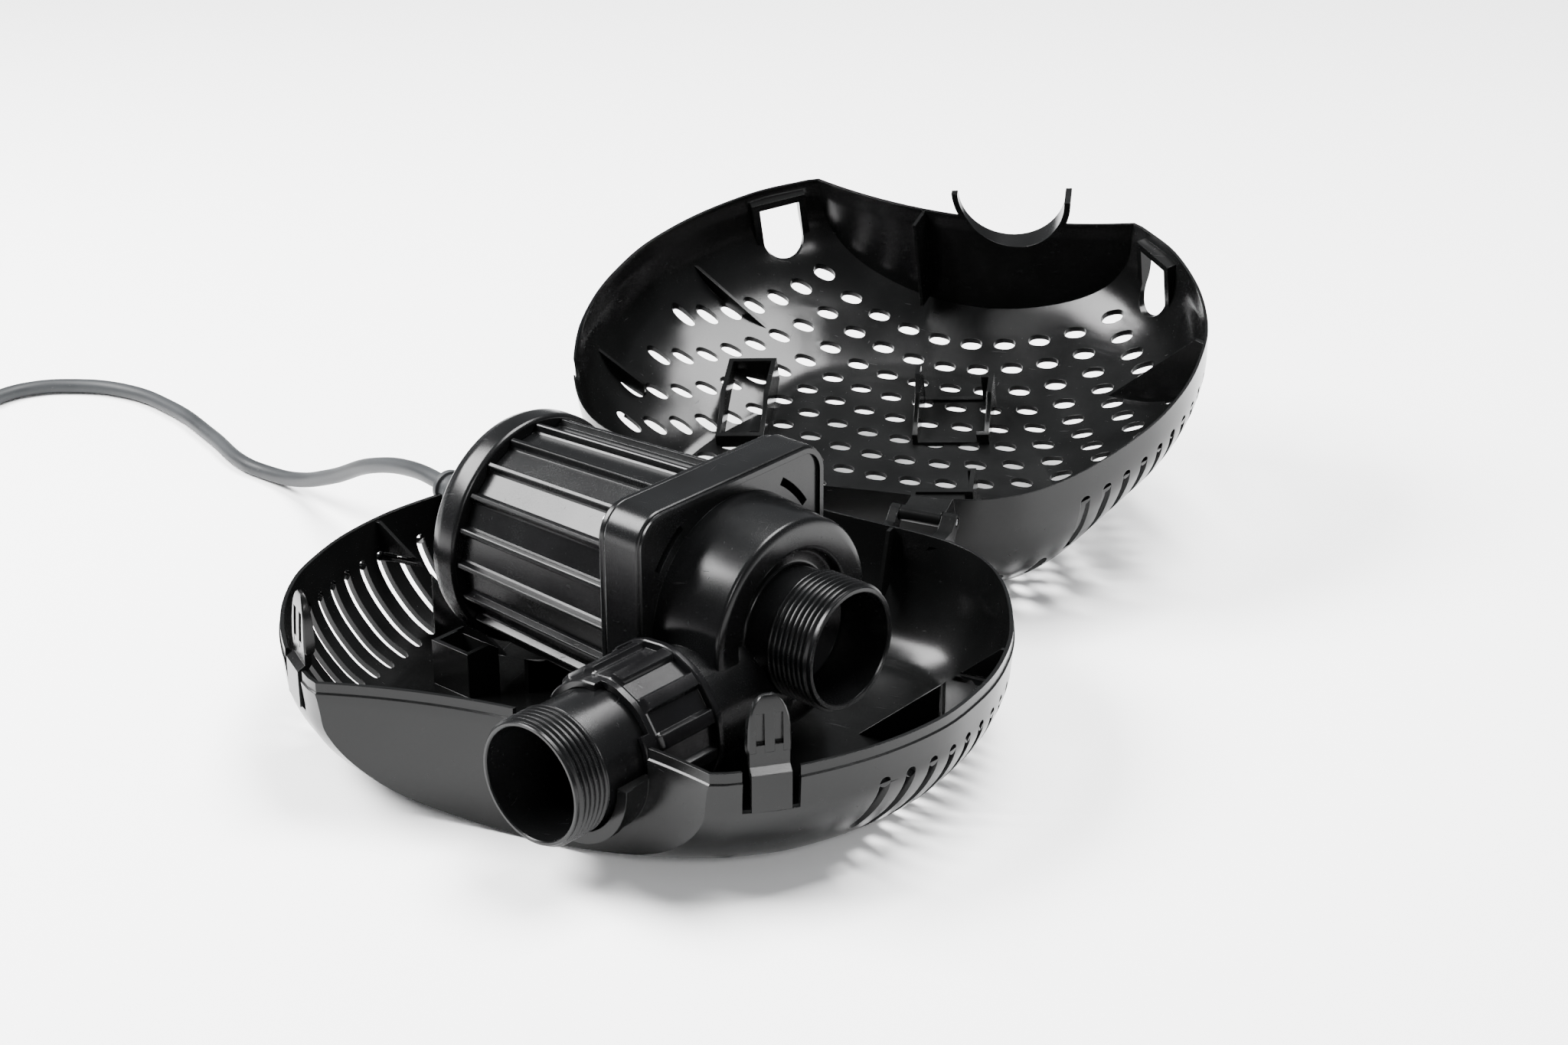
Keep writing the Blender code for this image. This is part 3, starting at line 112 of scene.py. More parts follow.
# Hinge
HINGE_Y = 118.3
HINGE_Z = 52.1
OPEN_ANGLE = 164.57
BARREL_R = 3.2
PIN_R = 1.4
KNUCKLES = [(50, 54), (72, 78)]  # on the lower shell, from the middle outwards
LID_KNUCKLE = (54.4, 71.6)
LOWER_WEB_FOOT = [(103, 33), (108.5, 33), (118.3, 48.9)]  # (y, z)
LOWER_WEB_TOP = [(112, 50.3), (103, 50.3)]
LID_WEB_FOOT = [(103, RIM_Z + LID_GAP), (115.4, RIM_Z + LID_GAP + 0.2)]
LID_WEB_TOP = [(112, 62), (103, 66)]

# Side slots
SLOT_WIDTH = 4
SLOT_PITCH = 10.25
LOWER_SLOT_FIRST, LOWER_SLOT_COUNT = -55, 11
LID_SLOT_FIRST, LID_SLOT_COUNT = -17.6, 10
LOWER_SLOT_X, LID_SLOT_X = 108, 92  # the slots' inner ends
LID_SLOT_DEPTH = 1.6  # the lid's are only grooves
SLOT_FROM_RIM = 13.5
LID_SLOT_TOP = 42

# Perforated dome
HOLE_LONG, HOLE_WIDE = 10.4, 5.6
HOLE_PITCH_X, HOLE_PITCH_Y = 15.8, 13.8
HOLE_FIRST_Y, HOLE_ROWS = -67, 14
HOLE_BEND = 0.0032  # each row falls back towards the front by this times x squared
HOLE_INSET = 9  # holes keep this far inside the rim outline
HOLE_FRONT = 14  # and this far behind the front wall
HOLE_LOW = 20  # the cutters start this far above the rim
HOLE_REAR = 0.3

# Pump placement
PUMP_X, PUMP_Z = 48.83, 58.8
PUMP_YAW = -15.99
OUTLET_DROP = 19.4

# Outlet collar
COLLAR_FACE = 101.2
COLLAR_R = 24.3
COLLAR_WALL = 2.8
COLLAR_BACK = 80
SADDLE_LAP = 0.7  # the saddle is this much thicker than the lid's half of the collar
CHANNEL_TOP = 12

# Latches, in a frame along the wall: origin at one end of the opening, s along, n outwards
LATCH_START = (87.2, -94.7)
LATCH_END = (102.6, -81.8)
LATCH_OPENING = (-0.5, 19.5)
LATCH_STEM = (2.5, 16.5)
LATCH_HEAD = (1.9, 17.1)
LATCH_ROOT = 16  # below the rim
LATCH_TOP = 26  # above the rim
LATCH_STEM_SIDE = [(-2.2, -LATCH_ROOT + GAP), (0, -LATCH_ROOT + GAP), (0, -1.6), (-2.9, 0.3), (-2.9, 8),
                   (-5.4, 8), (-5.4, 0.3), (-2.2, -4)]  # (n, z)
LATCH_HEAD_RINGS = [
    (4.6, 3.2, 6.0, 1), (5.4, 2.8, 6.6, 1), (8, 2.8, 7.1, 1), (14, 3.1, 6.9, 0.97), (18, 3.4, 6.7, 0.9),
    (21, 3.6, 6.5, 0.78), (23.5, 3.9, 6.3, 0.6), (25.2, 4.2, 6.1, 0.4), (LATCH_TOP, 4.6, 5.8, 0.2),
]  # height, front, back, share of the full width
WINDOW = (0, 19)
WINDOW_SPAN = (7.5, 34.5)
WINDOW_REACH = (-16, 10)  # through the wall, along the latch frame's n

# Pump, along its own X axis (towards the inlet)
INLET_FACE, INLET_R, INLET_BORE = 42.2, 23.9, 20.7
NECK_R = 22.4
DRUM_FRONT, DRUM_R_FRONT, DRUM_R_BACK = 15.3, 40.6, 43
RECESS_R, RECESS_DEPTH = 28.9, 4
FLANGE_FRONT, FLANGE_BACK, PLATE_THICK = -13.5, -33, 2.7
FLANGE_HALF, FLANGE_CORNER = 50, 12
CHAMBER_R, CHAMBER_FRONT, CHAMBER_STEP = 37, 11, 1.5
EYE_R = 13
DRUM_EDGE = 2.4
THREAD_FROM = 22.3
THREAD_PITCH, THREAD_DEPTH = 2.31, 1.1
RIB_COUNT, RIB_FIRST = 20, 17.45
RIB_R_BACK, RIB_R_FRONT, RIB_HEIGHT, RIB_HALF = 44, 47.5, 3.2, 1.3
MOTOR_BACK, CAP_BACK = -113.4, -126.9
CAP_R, CAP_EDGE_R = 45.8, 43.6
MOTOR_BORE = 38.5
GLAND_PLUG_R = 6.4
GLAND_PROFILE = [(0, 9.5), (5.65, 9.5), (6.65, 7), (23.65, 4.6)]  # behind the cap: distance, radius
GLAND_INSIDE = 6

# Outlet, along its own -Y axis
SPIGOT_FACE, SPIGOT_R, SPIGOT_BORE = 118.4, 23.5, 20.8
SPIGOT_NECK, SPIGOT_THREAD_END = 22.6, 103
BRANCH_END, BRANCH_BORE = 74, 18.5
NUT_BACK, NUT_FRONT, NUT_RIB_FRONT, NUT_RIB_BACK = 51.8, 86.3, 80, 55
NUT_R, NUT_RIB_R, NUT_RING_R = 25.9, 28, 28.8
NUT_RIBS, NUT_FIRST_RIB, NUT_RIB_HALF = 12, 20, 5.5
NUT_TAB_LENGTH = 3.4
NUT_BORE, NUT_BORE_SPAN = 24.6, (73, 82)

# Motor
CAN_R = 18.2  # the rotor can, which the motor's plate goes round

# Cable
CABLE_R = 3.4
GLAND_Y, GLAND_Z = 10, -6
GROMMET = (-119.6, 65.2)  # the middle of the wall
GROMMET_OUT = (-0.883, 0.469)
GROMMET_SEAT_R, GROMMET_SEAT_HALF = 6.2, 12
FLOOR_LIFT = 0.2
COIL_X, COIL_Y, COIL_R, COIL_HALF = -515.4, 95, 59, 20.4
COIL_LOW, COIL_HIGH = 1.6, 28.8
COIL_SIDE = COIL_R + COIL_HALF + CABLE_R + GAP  # where the cable lies against the coil
TIE_CLEAR, TIE_REACH, TIE_WIDTH = 0.4, 1.4, 5
TAIL_LENGTH = 95
PLUG_Z, PLUG_R, PLUG_RELIEF = 19, 18.7, 30
PLUG_PIN_R, PIN_PITCH = 2.4, 19

# Finer detail than the CAD solids have
SHARP_ANGLE, BARREL_SHARP_ANGLE = 22, 20  # degrees: edges sharper than this look sharp
WELD = 1e-6
PROFILE_STEPS = 5
LEDGE, LEDGE_DROP, LEDGE_FADE = 0.9, 3.6, 0.25  # step under the lower rim
LID_LIP, LID_LIP_HEIGHT = 1.2, 2.8
BAND_RISE, BAND_WIDTH = 0.9, 3.5  # thicker band round the collar's mouth
FIN = [(92, 20), (106, 30), (106, RIM_Z + 0.6), (102.5, RIM_Z + 0.6)]  # (y, z), beside each hinge
FIN_SPAN = (54.4, 56)
WINDOW_FRAME, WINDOW_FRAME_SPAN = 3.4, (-6, 2)  # width, and from inside to outside the wall
HOLE_POINTS, HOLE_FULLNESS = 20, 0.85  # 1 makes the drain holes true ellipses
LATCH_GROOVES, LATCH_GROOVE_HALF = (6.3, 12.7), 1.5
LATCH_GROOVE_FLOOR, LATCH_GROOVE_SPAN = -4.6, (3, 19.5)
LATCH_EDGE = 0.6
THREAD_FORM = [(0, THREAD_DEPTH), (0.12, THREAD_DEPTH), (0.42, 0.08), (0.5, 0), (0.64, 0.08),
               (0.92, THREAD_DEPTH)]  # share of the pitch, depth below the crest
PLATE_EDGE, FLANGE_EDGE = 0.6, 0.9
BORDER, BORDER_IN, BORDER_FLOOR = 1.1, 3, 0.2  # raised border of the flange
BRANCH_FROM, THROAT_FROM, THROAT_LESS = -8, -22, 2
ARC_SLOTS, SLOT_RING, SLOT_HALF_ANGLE, ARC_SLOT_DEPTH = (45, 135, 225, 315), (46.5, 49.5), 11, 8
CAP_SIDE = [(MOTOR_BACK, MOTOR_BORE), (MOTOR_BACK, CAP_R - 1), (MOTOR_BACK - 1.2, CAP_R), (CAP_BACK + 5, CAP_R),
            (CAP_BACK + 1, CAP_EDGE_R + 0.6), (CAP_BACK, CAP_EDGE_R - 1), (CAP_BACK, 34), (CAP_BACK + 1, 33),
            (CAP_BACK + 1, 8)]  # from the motor round to the middle of the back: (x, radius)
CAP_ROOM = [(MOTOR_BACK + 2, MOTOR_BORE + 2), (MOTOR_BACK - 1, MOTOR_BORE + 2), (MOTOR_BACK - 1, MOTOR_BORE),
            (CAP_BACK + 3, MOTOR_BORE - 2)]
RIB_SHAPE = [(-2.1, 0), (-1.45, 0.18), (-1.15, 0.6), (-1, 0.9), (-0.6, 1), (0.6, 1), (1, 0.9), (1.15, 0.6),
             (1.45, 0.18), (2.1, 0)]  # across, height
RIB_SLIM = 0.75
NUT_RIB_SHAPE = [(-1.3, 0), (-1.12, 0.25), (-0.92, 0.9), (-0.8, 1), (-0.4, 1), (0, 1), (0.4, 1), (0.8, 1),
                 (0.92, 0.9), (1.12, 0.25), (1.3, 0)]  # turn, height
NUT_NOTCHES, NUT_NOTCH_FIRST, NUT_NOTCH_ANGLE = 3, 30, 60
SPIGOT_FLANGE, SPIGOT_FLANGE_R, SPIGOT_TAPER = (77.4, 81.6), 24.2, (108, 102)
GLAND_STEPS, GLAND_RIDGE = 5, [(2.2, 0.2), (1.8, -0.6), (0.8, -0.6), (0.4, 0)]
GROMMET_SIDE = [(-5.2, 6.6), (-4.7, 7.2), (-2.5, 7.2), (-2.3, 5.7), (2.3, 5.7), (2.5, 7.2), (4.7, 7.2),
                (5.2, 6.6)]  # two discs with the wall's groove between them
TURN_POINTS = 24
CROSSING = 1 / 7  # share of a turn in which the cable crosses to the next one
UNWIND_OUT, UNWIND_FROM = 3.2, 0.12
TIE_CORNER, TIE_BEVEL = 3, 0.7
RELIEF_RINGS, RELIEF_PITCH, RELIEF_RIDGE = 6, 4.2, [(0, 0), (0.5, -0.8), (1.7, -0.7), (2.2, 0.25)]
PLUG_SIDE = [(0, 5), (0, 9), (7, 14.5), (15, 15.5), (19, PLUG_R), (33, PLUG_R), (34, PLUG_R - 1),
             (34, PLUG_R - 4), (33, PLUG_R - 4.6), (33, 4)]
PLUG_FACE, PLUG_GRIPS, PLUG_GRIP_SPAN, PLUG_GRIP_HALF = 34, 12, (21, 31), 1.2
PIN_LENGTH = 18

# Finish
CLOUD_SCALE, DUST_SCALE, GRAIN_SCALE = 35, 900, 2600
WAVE_SCALE, WAVE_HEIGHT = 60, 0.05
WORN_TINT, GLOSS = 1.5, 0.17
MOULDED = {  # colour, worn colour, roughness, grain height, scratches, edge radius
    "shell_plastic": ((0.0022, 0.0023, 0.0023), (0.012, 0.012, 0.0125), (0.17, 0.24), 0.035, 0.35, 0.35),
    "pump_plastic": ((0.0022, 0.0023, 0.0024), (0.014, 0.014, 0.0145), (0.2, 0.27), 0.03, 0.25, 0.3),
    "nut_plastic": ((0.0022, 0.0022, 0.0024), (0.012, 0.012, 0.012), (0.18, 0.25), 0.02, 0.3, 0.3),
    "impeller_plastic": ((0.5, 0.5, 0.46), (0.6, 0.6, 0.56), (0.4, 0.5), 0.02, 0.4),
    "cable_rubber": ((0.016, 0.017, 0.018), (0.07, 0.07, 0.07), (0.42, 0.52), 0.05, 0.4),
    "seal_rubber": ((0.02, 0.02, 0.02), (0.05, 0.05, 0.05), (0.6, 0.7), 0.05, 0.3),
    "plug_plastic": ((0.012, 0.012, 0.013), (0.06, 0.06, 0.06), (0.36, 0.46), 0.04, 0.4),
    "tie_plastic": ((0.02, 0.02, 0.02), (0.05, 0.05, 0.05), (0.4, 0.5), 0.03, 0.3),
    "ceramic": ((0.7, 0.68, 0.62), (0.6, 0.6, 0.55), (0.2, 0.3), 0.01, 0.3),
    "ferrite": ((0.05, 0.05, 0.055), (0.1, 0.1, 0.1), (0.4, 0.5), 0.03, 0.3),
}
METALS = {  # colour, roughness
    "steel": ((0.58, 0.58, 0.6), 0.22),
    "stator_steel": ((0.35, 0.35, 0.37), 0.4),
    "copper": ((0.72, 0.3, 0.13), 0.3),
}

# Camera and light
CAMERA_PLACE = (444.35, -941.27, 515.23)
CAMERA_LENS = 65.4
CAMERA_ANGLES = (24.87, 24.46)
FLOOR_REACH = 6
WORLD_LIGHT = 0.33
LIGHTS = [
    ("key", (-1.0, -0.37, 1.05), (0.0, -0.05, 0.05), (0.9, 0.6), 100),
    ("top", (0.3, 0.5, 1.8), (0.0, 0.0, 0.05), (1.2, 0.9), 150),
    ("front", (1.1, -1.2, 0.9), (0.0, -0.1, 0.05), (0.5, 0.5), 16),
]


# ---------------------------------------------------------------- solids as (points, faces)
def loft(rings, closed=False):
    """Rings of equal length joined side by side, capped at both ends unless closed into a loop."""
    count = len(rings[0])
    points = [point for ring in rings for point in ring]
    faces = []
    last = len(rings) if closed else len(rings) - 1
    for k in range(last):
        here = k * count
        there = ((k + 1) % len(rings)) * count
        for i in range(count):
            j = (i + 1) % count
            faces.append((here + i, here + j, there + j, there + i))
    if not closed:
        faces.append(tuple(range(count)))
        faces.append(tuple(len(points) - count + i for i in range(count)))
    return points, faces


def joined(*solids):
    points, faces = [], []
    for some_points, some_faces in solids:
        start = len(points)
        points += some_points
        faces += [tuple(start + i for i in face) for face in some_faces]
    return points, faces


def moved(solid, matrix):
    points, faces = solid
    return [tuple(matrix @ Vector(point)) for point in points], faces


def mirrored(solid):
    points, faces = solid
    return [(-x, y, z) for x, y, z in points], faces


def corners(low, high, inset=0):
    """The four (x, y) corners between two points, moved inwards by inset."""
    left, near, right, far = low[0] + inset, low[1] + inset, high[0] - inset, high[1] - inset
    return [(left, near), (right, near), (right, far), (left, far)]


def box(low, high):
    return loft([[(x, y, z) for x, y in corners(low, high)] for z in (low[2], high[2])])


def prism(outline, start, end, place):
    """An outline of (a, b) pairs pushed from start to end; place turns (a, b, depth) into a point."""
    return loft([[place(a, b, depth) for a, b in outline] for depth in (start, end)])


def along_x(a, b, depth):
    return (depth, a, b)


def along_y(a, b, depth):
    return (a, depth, b)


def along_z(a, b, depth):
    return (a, b, depth)


def arc(radius, start, end, count, centre=(0, 0)):
    """Points on an arc, degrees from +a towards +b."""
    angles = [math.radians(start + (end - start) * i / count) for i in range(count + 1)]
    return [(centre[0] + radius * math.cos(t), centre[1] + radius * math.sin(t)) for t in angles]


def circle(radius, count, centre=(0, 0)):
    return arc(radius, 0, 360, count, centre)[:-1]


def turned(profile, count, closed=True):
    """A profile of (x, radius) spun about X; a closed one makes a ring, an open one has flat ends."""
    return loft([[(x, a, b) for a, b in circle(radius, count)] for x, radius in profile], closed)


def rounded(half, corner, steps, reach=0, middle=(0, 0)):
    """A rectangle with round corners, from its two half sides, grown outwards by reach."""
    points = []
    for turn, (sa, sb) in enumerate([(1, 1), (-1, 1), (-1, -1), (1, -1)]):
        centre = (middle[0] + sa * (half[0] - corner), middle[1] + sb * (half[1] - corner))
        points += arc(corner + reach, 90 * turn, 90 * turn + 90, steps, centre)
    return points


def rounded_square(half, corner, steps):
    return rounded((half, half), corner, steps)


def smooth_curve(padded, steps):
    """Points on a smooth curve through all of padded but its two ends, which only steer it."""
    curve = []
    for k in range(1, len(padded) - 2):
        a, b, c, d = (Vector(point) for point in padded[k - 1 : k + 3])
        for i in range(steps):
            t = i / steps
            curve.append(
                0.5 * (2 * b + (c - a) * t + (2 * a - 5 * b + 4 * c - d) * t**2
                       + (3 * b - a - 3 * c + d) * t**3)
            )
    curve.append(Vector(padded[-2]))
    return curve


def spline(points, steps):
    """A smooth curve through points, whose ends meet their own mirror image at x = 0."""
    before = (-points[1][0], points[1][1])
    after = (-points[-2][0], points[-2][1])
    return smooth_curve([before, *points, after], steps)


def through(points, per_span):
    """A smooth curve through a route's own points."""
    vectors = [Vector(point) for point in points]
    return smooth_curve([2 * vectors[0] - vectors[1], *vectors, 2 * vectors[-1] - vectors[-2]], per_span)


def smooth_step(value):
    t = min(max(value, 0), 1)
    return t * t * (3 - 2 * t)


def front_y(x):
    """The arched front wall."""
    return FRONT_Y + FRONT_ARCH * (1 - (x / FRONT_HALF) ** 2)


def inset_curve(inset, rear):
    """The right half of the rim outline moved towards the spine."""
    curve = []
    for point in spline(RIM_OUTLINE, SPAN_STEPS):
        towards = (Vector((SPINE_SHARE * point.x, SPINE_Y)) - point).normalized()
        steeper = rear * smooth_step((point.y - REAR_FROM) / (REAR_TO - REAR_FROM))
        curve.append(point + towards * inset * (1 - steeper))
    return curve


def evenly(curve, count):
    """count + 1 points evenly spaced along a polyline."""
    lengths = [0.0]
    for a, b in zip(curve, curve[1:]):
        lengths.append(lengths[-1] + (b - a).length)
    found = []
    k = 0
    for i in range(count + 1):
        want = lengths[-1] * i / count
        while k < len(curve) - 2 and lengths[k + 1] < want:
            k += 1
        span = lengths[k + 1] - lengths[k]
        t = (want - lengths[k]) / span if span else 0
        found.append(curve[k].lerp(curve[k + 1], t))
    return found


def section(inset, rear, front_inset, z):
    """One level of the shell: the inset outline, cut off by the front wall."""
    curve = inset_curve(inset, rear)
    wall = [point.y - front_y(point.x) - front_inset for point in curve]
    cut = next((k for k in range(1, len(curve)) if wall[k] < 0), None)
    if cut is None:
        cut = len(curve) - 2
        side, front = curve[: cut + 1], curve[cut:]
    else:
        corner = curve[cut - 1].lerp(curve[cut], wall[cut - 1] / (wall[cut - 1] - wall[cut]))
        side = [*curve[:cut], corner]
        xs = [corner.x * (1 - i / FRONT_COUNT) for i in range(FRONT_COUNT + 1)]
        front = [Vector((x, front_y(x) + front_inset)) for x in xs]
    half = evenly(side, SIDE_COUNT) + evenly(front, FRONT_COUNT)[1:]
    whole = half + [Vector((-point.x, point.y)) for point in half[-2:0:-1]]
    return [(point.x, point.y, z) for point in whole]


def offset_profile(profile, distance):
    """The profile moved square to itself, towards the inside of the shell."""
    moved_points = []
    for k, (inset, depth) in enumerate(profile):
        before = Vector(profile[max(k - 1, 0)])
        after = Vector(profile[min(k + 1, len(profile) - 1)])
        along = (after - before).normalized()
        if k == 0:
            along = Vector((0, 1))
        if k == len(profile) - 1:
            along = Vector((1, 0))
        moved_points.append((inset + along.y * distance, depth - along.x * distance))
    return moved_points


# ---------------------------------------------------------------- frames
PUMP = Matrix.Translation((PUMP_X, 0, PUMP_Z)) @ Matrix.Rotation(math.radians(PUMP_YAW), 4, "Z")
FLAT_PUMP = Matrix.Translation((0, 0, -PUMP_Z)) @ PUMP  # the same with its origin on the floor
HINGE = Matrix.Translation((0, HINGE_Y, HINGE_Z))
OUTLET = PUMP @ Matrix.Translation((0, 0, -OUTLET_DROP)) @ Matrix.Rotation(math.radians(-90), 4, "Z")
OPEN = HINGE @ Matrix.Rotation(math.radians(-OPEN_ANGLE), 4, "X") @ HINGE.inverted()

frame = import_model()
SKINS = {}  # material of each slot, filled by main


def latch_frame(side):
    """Matrix of a latch's frame: X along the opening, Y outwards, Z up from the rim."""
    start, end = Vector((*LATCH_START, 0)), Vector((*LATCH_END, 0))
    along = (end - start).normalized()
    out = Vector((along.y, -along.x, 0))
    frame = Matrix.Identity(4)
    for row in range(3):
        frame[row][0] = along[row]
        frame[row][1] = out[row]
        frame[row][3] = start[row]
    frame[2][3] = RIM_Z
    if side < 0:
        return Matrix.Scale(-1, 4, (1, 0, 0)) @ frame
    return frame


def in_latch_frames(solid):
    """A solid drawn in the latch frame, on both sides of the shell."""
    return joined(*[moved(solid, latch_frame(side)) for side in (1, -1)])


def both_sides(solid):
    return joined(solid, mirrored(solid))


def grommet_place():
    """Matrix of the cable's way through the rim: X outwards, origin in the wall."""
    turn = Vector((1, 0, 0)).rotation_difference(Vector((*GROMMET_OUT, 0))).to_matrix().to_4x4()
    return Matrix.Translation((*GROMMET, RIM_Z)) @ turn


def grommet_seat():
    ends = [(-GROMMET_SEAT_HALF, GROMMET_SEAT_R), (GROMMET_SEAT_HALF, GROMMET_SEAT_R)]
    return moved(turned(ends, 16, closed=False), grommet_place())


def knuckle_bores():
    ends = (KNUCKLES[0][0] - PAST, KNUCKLES[1][1] + PAST)
    bore = turned([(x, PIN_R + GAP) for x in ends], 16, closed=False)
    return both_sides(moved(bore, HINGE))


def gusset(at_rim, inside):
    """A thin upright plate against the wall, with one straight free edge from the rim to a place inside."""
    start, end = Vector(at_rim), Vector(inside)
    along = Vector((end.x - start.x, end.y - start.y, 0)).normalized()
    across = Vector((-along.y, along.x, 0)) * GUSSET_THICK / 2
    past = math.copysign(GUSSET_PAST, end.z - start.z)
    outside = start - along * GUSSET_OUT
    outline = [start, end, end + Vector((0, 0, past)), Vector((outside.x, outside.y, end.z + past)), outside]
    return loft([[tuple(point + shift) for point in outline] for shift in (-across, across)])


def frame_box(low, high, wall):
    """Four thin walls as one ring, between two heights."""
    outer, inner = corners(low, high), corners(low, high, wall)
    sides = [(outer, low[2]), (outer, high[2]), (inner, high[2]), (inner, low[2])]
    return loft([[(x, y, z) for x, y in outline] for outline, z in sides], closed=True)


def hole_places():
    """Centres of the dome's drain holes, in staggered rows."""
    edge = inset_curve(HOLE_INSET, HOLE_REAR)
    places = []
    for row in range(HOLE_ROWS):
        middle_y = HOLE_FIRST_Y + row * HOLE_PITCH_Y
        shift = 0.5 * HOLE_PITCH_X * (row % 2)
        for k in range(-HOLE_ROWS, HOLE_ROWS):
            x = (k + 0.5) * HOLE_PITCH_X + shift
            y = middle_y - HOLE_BEND * x * x
            reach = max((p.x for p in edge if abs(p.y - y) < HOLE_PITCH_Y / 2), default=0)
            if abs(x) < reach - HOLE_LONG / 2 and y - HOLE_FRONT > front_y(x):
                places.append((x, y))
    return places


# ---------------------------------------------------------------- solids worked with Booleans
def smooth_profile(profile, steps):
    """A profile of (inset, depth) made finer along a smooth curve."""
    return [tuple(point)[:2] for point in through([(*pair, 0) for pair in profile], steps)]


def fillets(profile, radius, steps=3):
    """The profile with its corners rounded; its two ends stay."""
    points = [Vector(pair) for pair in profile]
    made = [tuple(points[0])]
    for a, b, c in zip(points, points[1:], points[2:]):
        back = min(radius, 0.45 * (a - b).length, 0.45 * (c - b).length)
        start = b + (a - b).normalized() * back
        end = b + (c - b).normalized() * back
        for i in range(steps + 1):
            t = i / steps
            made.append(tuple(start * (1 - t) ** 2 + b * 2 * t * (1 - t) + end * t * t))
    made.append(tuple(points[-1]))
    return made


def plate(half, corner, start, end, edge):
    """A rounded square plate along X with bevelled edges."""
    rings = []
    for x, inset in [(start, edge), (start + 0.3 * edge, 0.3 * edge), (start + edge, 0),
                     (end - edge, 0), (end - 0.3 * edge, 0.3 * edge), (end, edge)]:
        rings.append([(x, a, b) for a, b in rounded_square(half - inset, corner - inset, 14)])
    return loft(rings)


def shown(name, data):
    made = bpy.data.objects.new(name, data)
    bpy.context.scene.collection.objects.link(made)
    return made


def mesh_of(name, points, faces, weld=0):
    """A mesh whose faces all look outwards, with the points closer than weld merged."""
    mesh = bpy.data.meshes.new(name)
    mesh.from_pydata(points, [], faces)
    work = bmesh.new()
    work.from_mesh(mesh)
    if weld:
        bmesh.ops.remove_doubles(work, verts=work.verts, dist=weld)
    bmesh.ops.recalc_face_normals(work, faces=work.faces)
    work.to_mesh(mesh)
    work.free()
    return mesh


def temporary(solid):
    return shown("temporary", mesh_of("temporary", *solid))


def worked(base, *changes):
    """A solid after others are joined to it (+), cut from it (-) or it is kept only inside them (&)."""
    names = {"+": "UNION", "-": "DIFFERENCE", "&": "INTERSECT"}
    target = temporary(base)
    tools = []
    for sign, solid in changes:
        tool = temporary(solid)
        change = target.modifiers.new("change", "BOOLEAN")
        change.operation = names[sign]
        change.solver = "MANIFOLD"
        change.object = tool
        tools.append(tool)
    bpy.context.view_layer.update()
    shape = target.evaluated_get(bpy.context.evaluated_depsgraph_get())
    mesh = shape.to_mesh()
    points = [tuple(vertex.co) for vertex in mesh.vertices]
    faces = [tuple(polygon.vertices) for polygon in mesh.polygons]
    shape.to_mesh_clear()
    for used in [target, *tools]:
        old = used.data
        bpy.data.objects.remove(used)
        bpy.data.meshes.remove(old)
    return points, faces


def piece(name, solid, slot, node, body="base", angle=SHARP_ANGLE):
    """A shown piece in the row frame, in metres, riding on a body in place of a CAD node."""
    points, faces = solid
    mesh = mesh_of(name, [(x * MM, (y - CENTRE_Y) * MM, z * MM) for x, y, z in points], faces, WELD)
    mesh.shade_smooth()
    mesh.set_sharp_from_angle(angle=math.radians(angle))
    mesh.materials.append(SKINS[slot])
    made = shown(name, mesh)
    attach(made, body)
    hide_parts(node)
    return made


# ---------------------------------------------------------------- camera, floor and light
def camera():
    data = bpy.data.cameras.new("camera")
    data.lens = CAMERA_LENS
    data.sensor_width = 36
    data.clip_start = 0.05
    data.clip_end = 30
    made = shown("camera", data)
    azimuth, elevation = (math.radians(angle) for angle in CAMERA_ANGLES)
    right = Vector((math.cos(azimuth), math.sin(azimuth), 0))
    back = Vector((math.cos(elevation) * math.sin(azimuth), -math.cos(elevation) * math.cos(azimuth),
                   math.sin(elevation)))
    up = back.cross(right)
    turn = Matrix((right, up, back)).transposed()
    made.matrix_world = Matrix.Translation(Vector(CAMERA_PLACE) * MM) @ turn.to_4x4()
    bpy.context.scene.camera = made


def area_light(name, place, target, size, power):
    data = bpy.data.lights.new(name, "AREA")
    data.shape = "RECTANGLE"
    data.size, data.size_y = size
    data.energy = power
    made = shown(name, data)
    made.location = place
    made.rotation_euler = (Vector(target) - Vector(place)).to_track_quat("-Z", "Y").to_euler()


def studio():
    world = bpy.data.worlds.new("studio")
    world.use_nodes = True
    backdrop = world.node_tree.nodes["Background"]
    backdrop.inputs["Color"].default_value = (0.94, 0.96, 1, 1)
    backdrop.inputs["Strength"].default_value = WORLD_LIGHT
    bpy.context.scene.world = world
    for name, place, target, size, power in LIGHTS:
        area_light(name, place, target, size, power)
    mesh = bpy.data.meshes.new("floor")
    reach = FLOOR_REACH
    mesh.from_pydata([(-reach, -reach, 0), (reach, -reach, 0), (reach, reach, 0), (-reach, reach, 0)], [],
                     [(0, 1, 2, 3)])
    skin = bpy.data.materials.new("floor")
    skin.use_nodes = True
    shader = skin.node_tree.nodes["Principled BSDF"]
    shader.inputs["Base Color"].default_value = (0.93, 0.93, 0.93, 1)
    shader.inputs["Roughness"].default_value = 0.6
    shader.inputs["Specular IOR Level"].default_value = 0.2
    mesh.materials.append(skin)
    shown("floor", mesh)


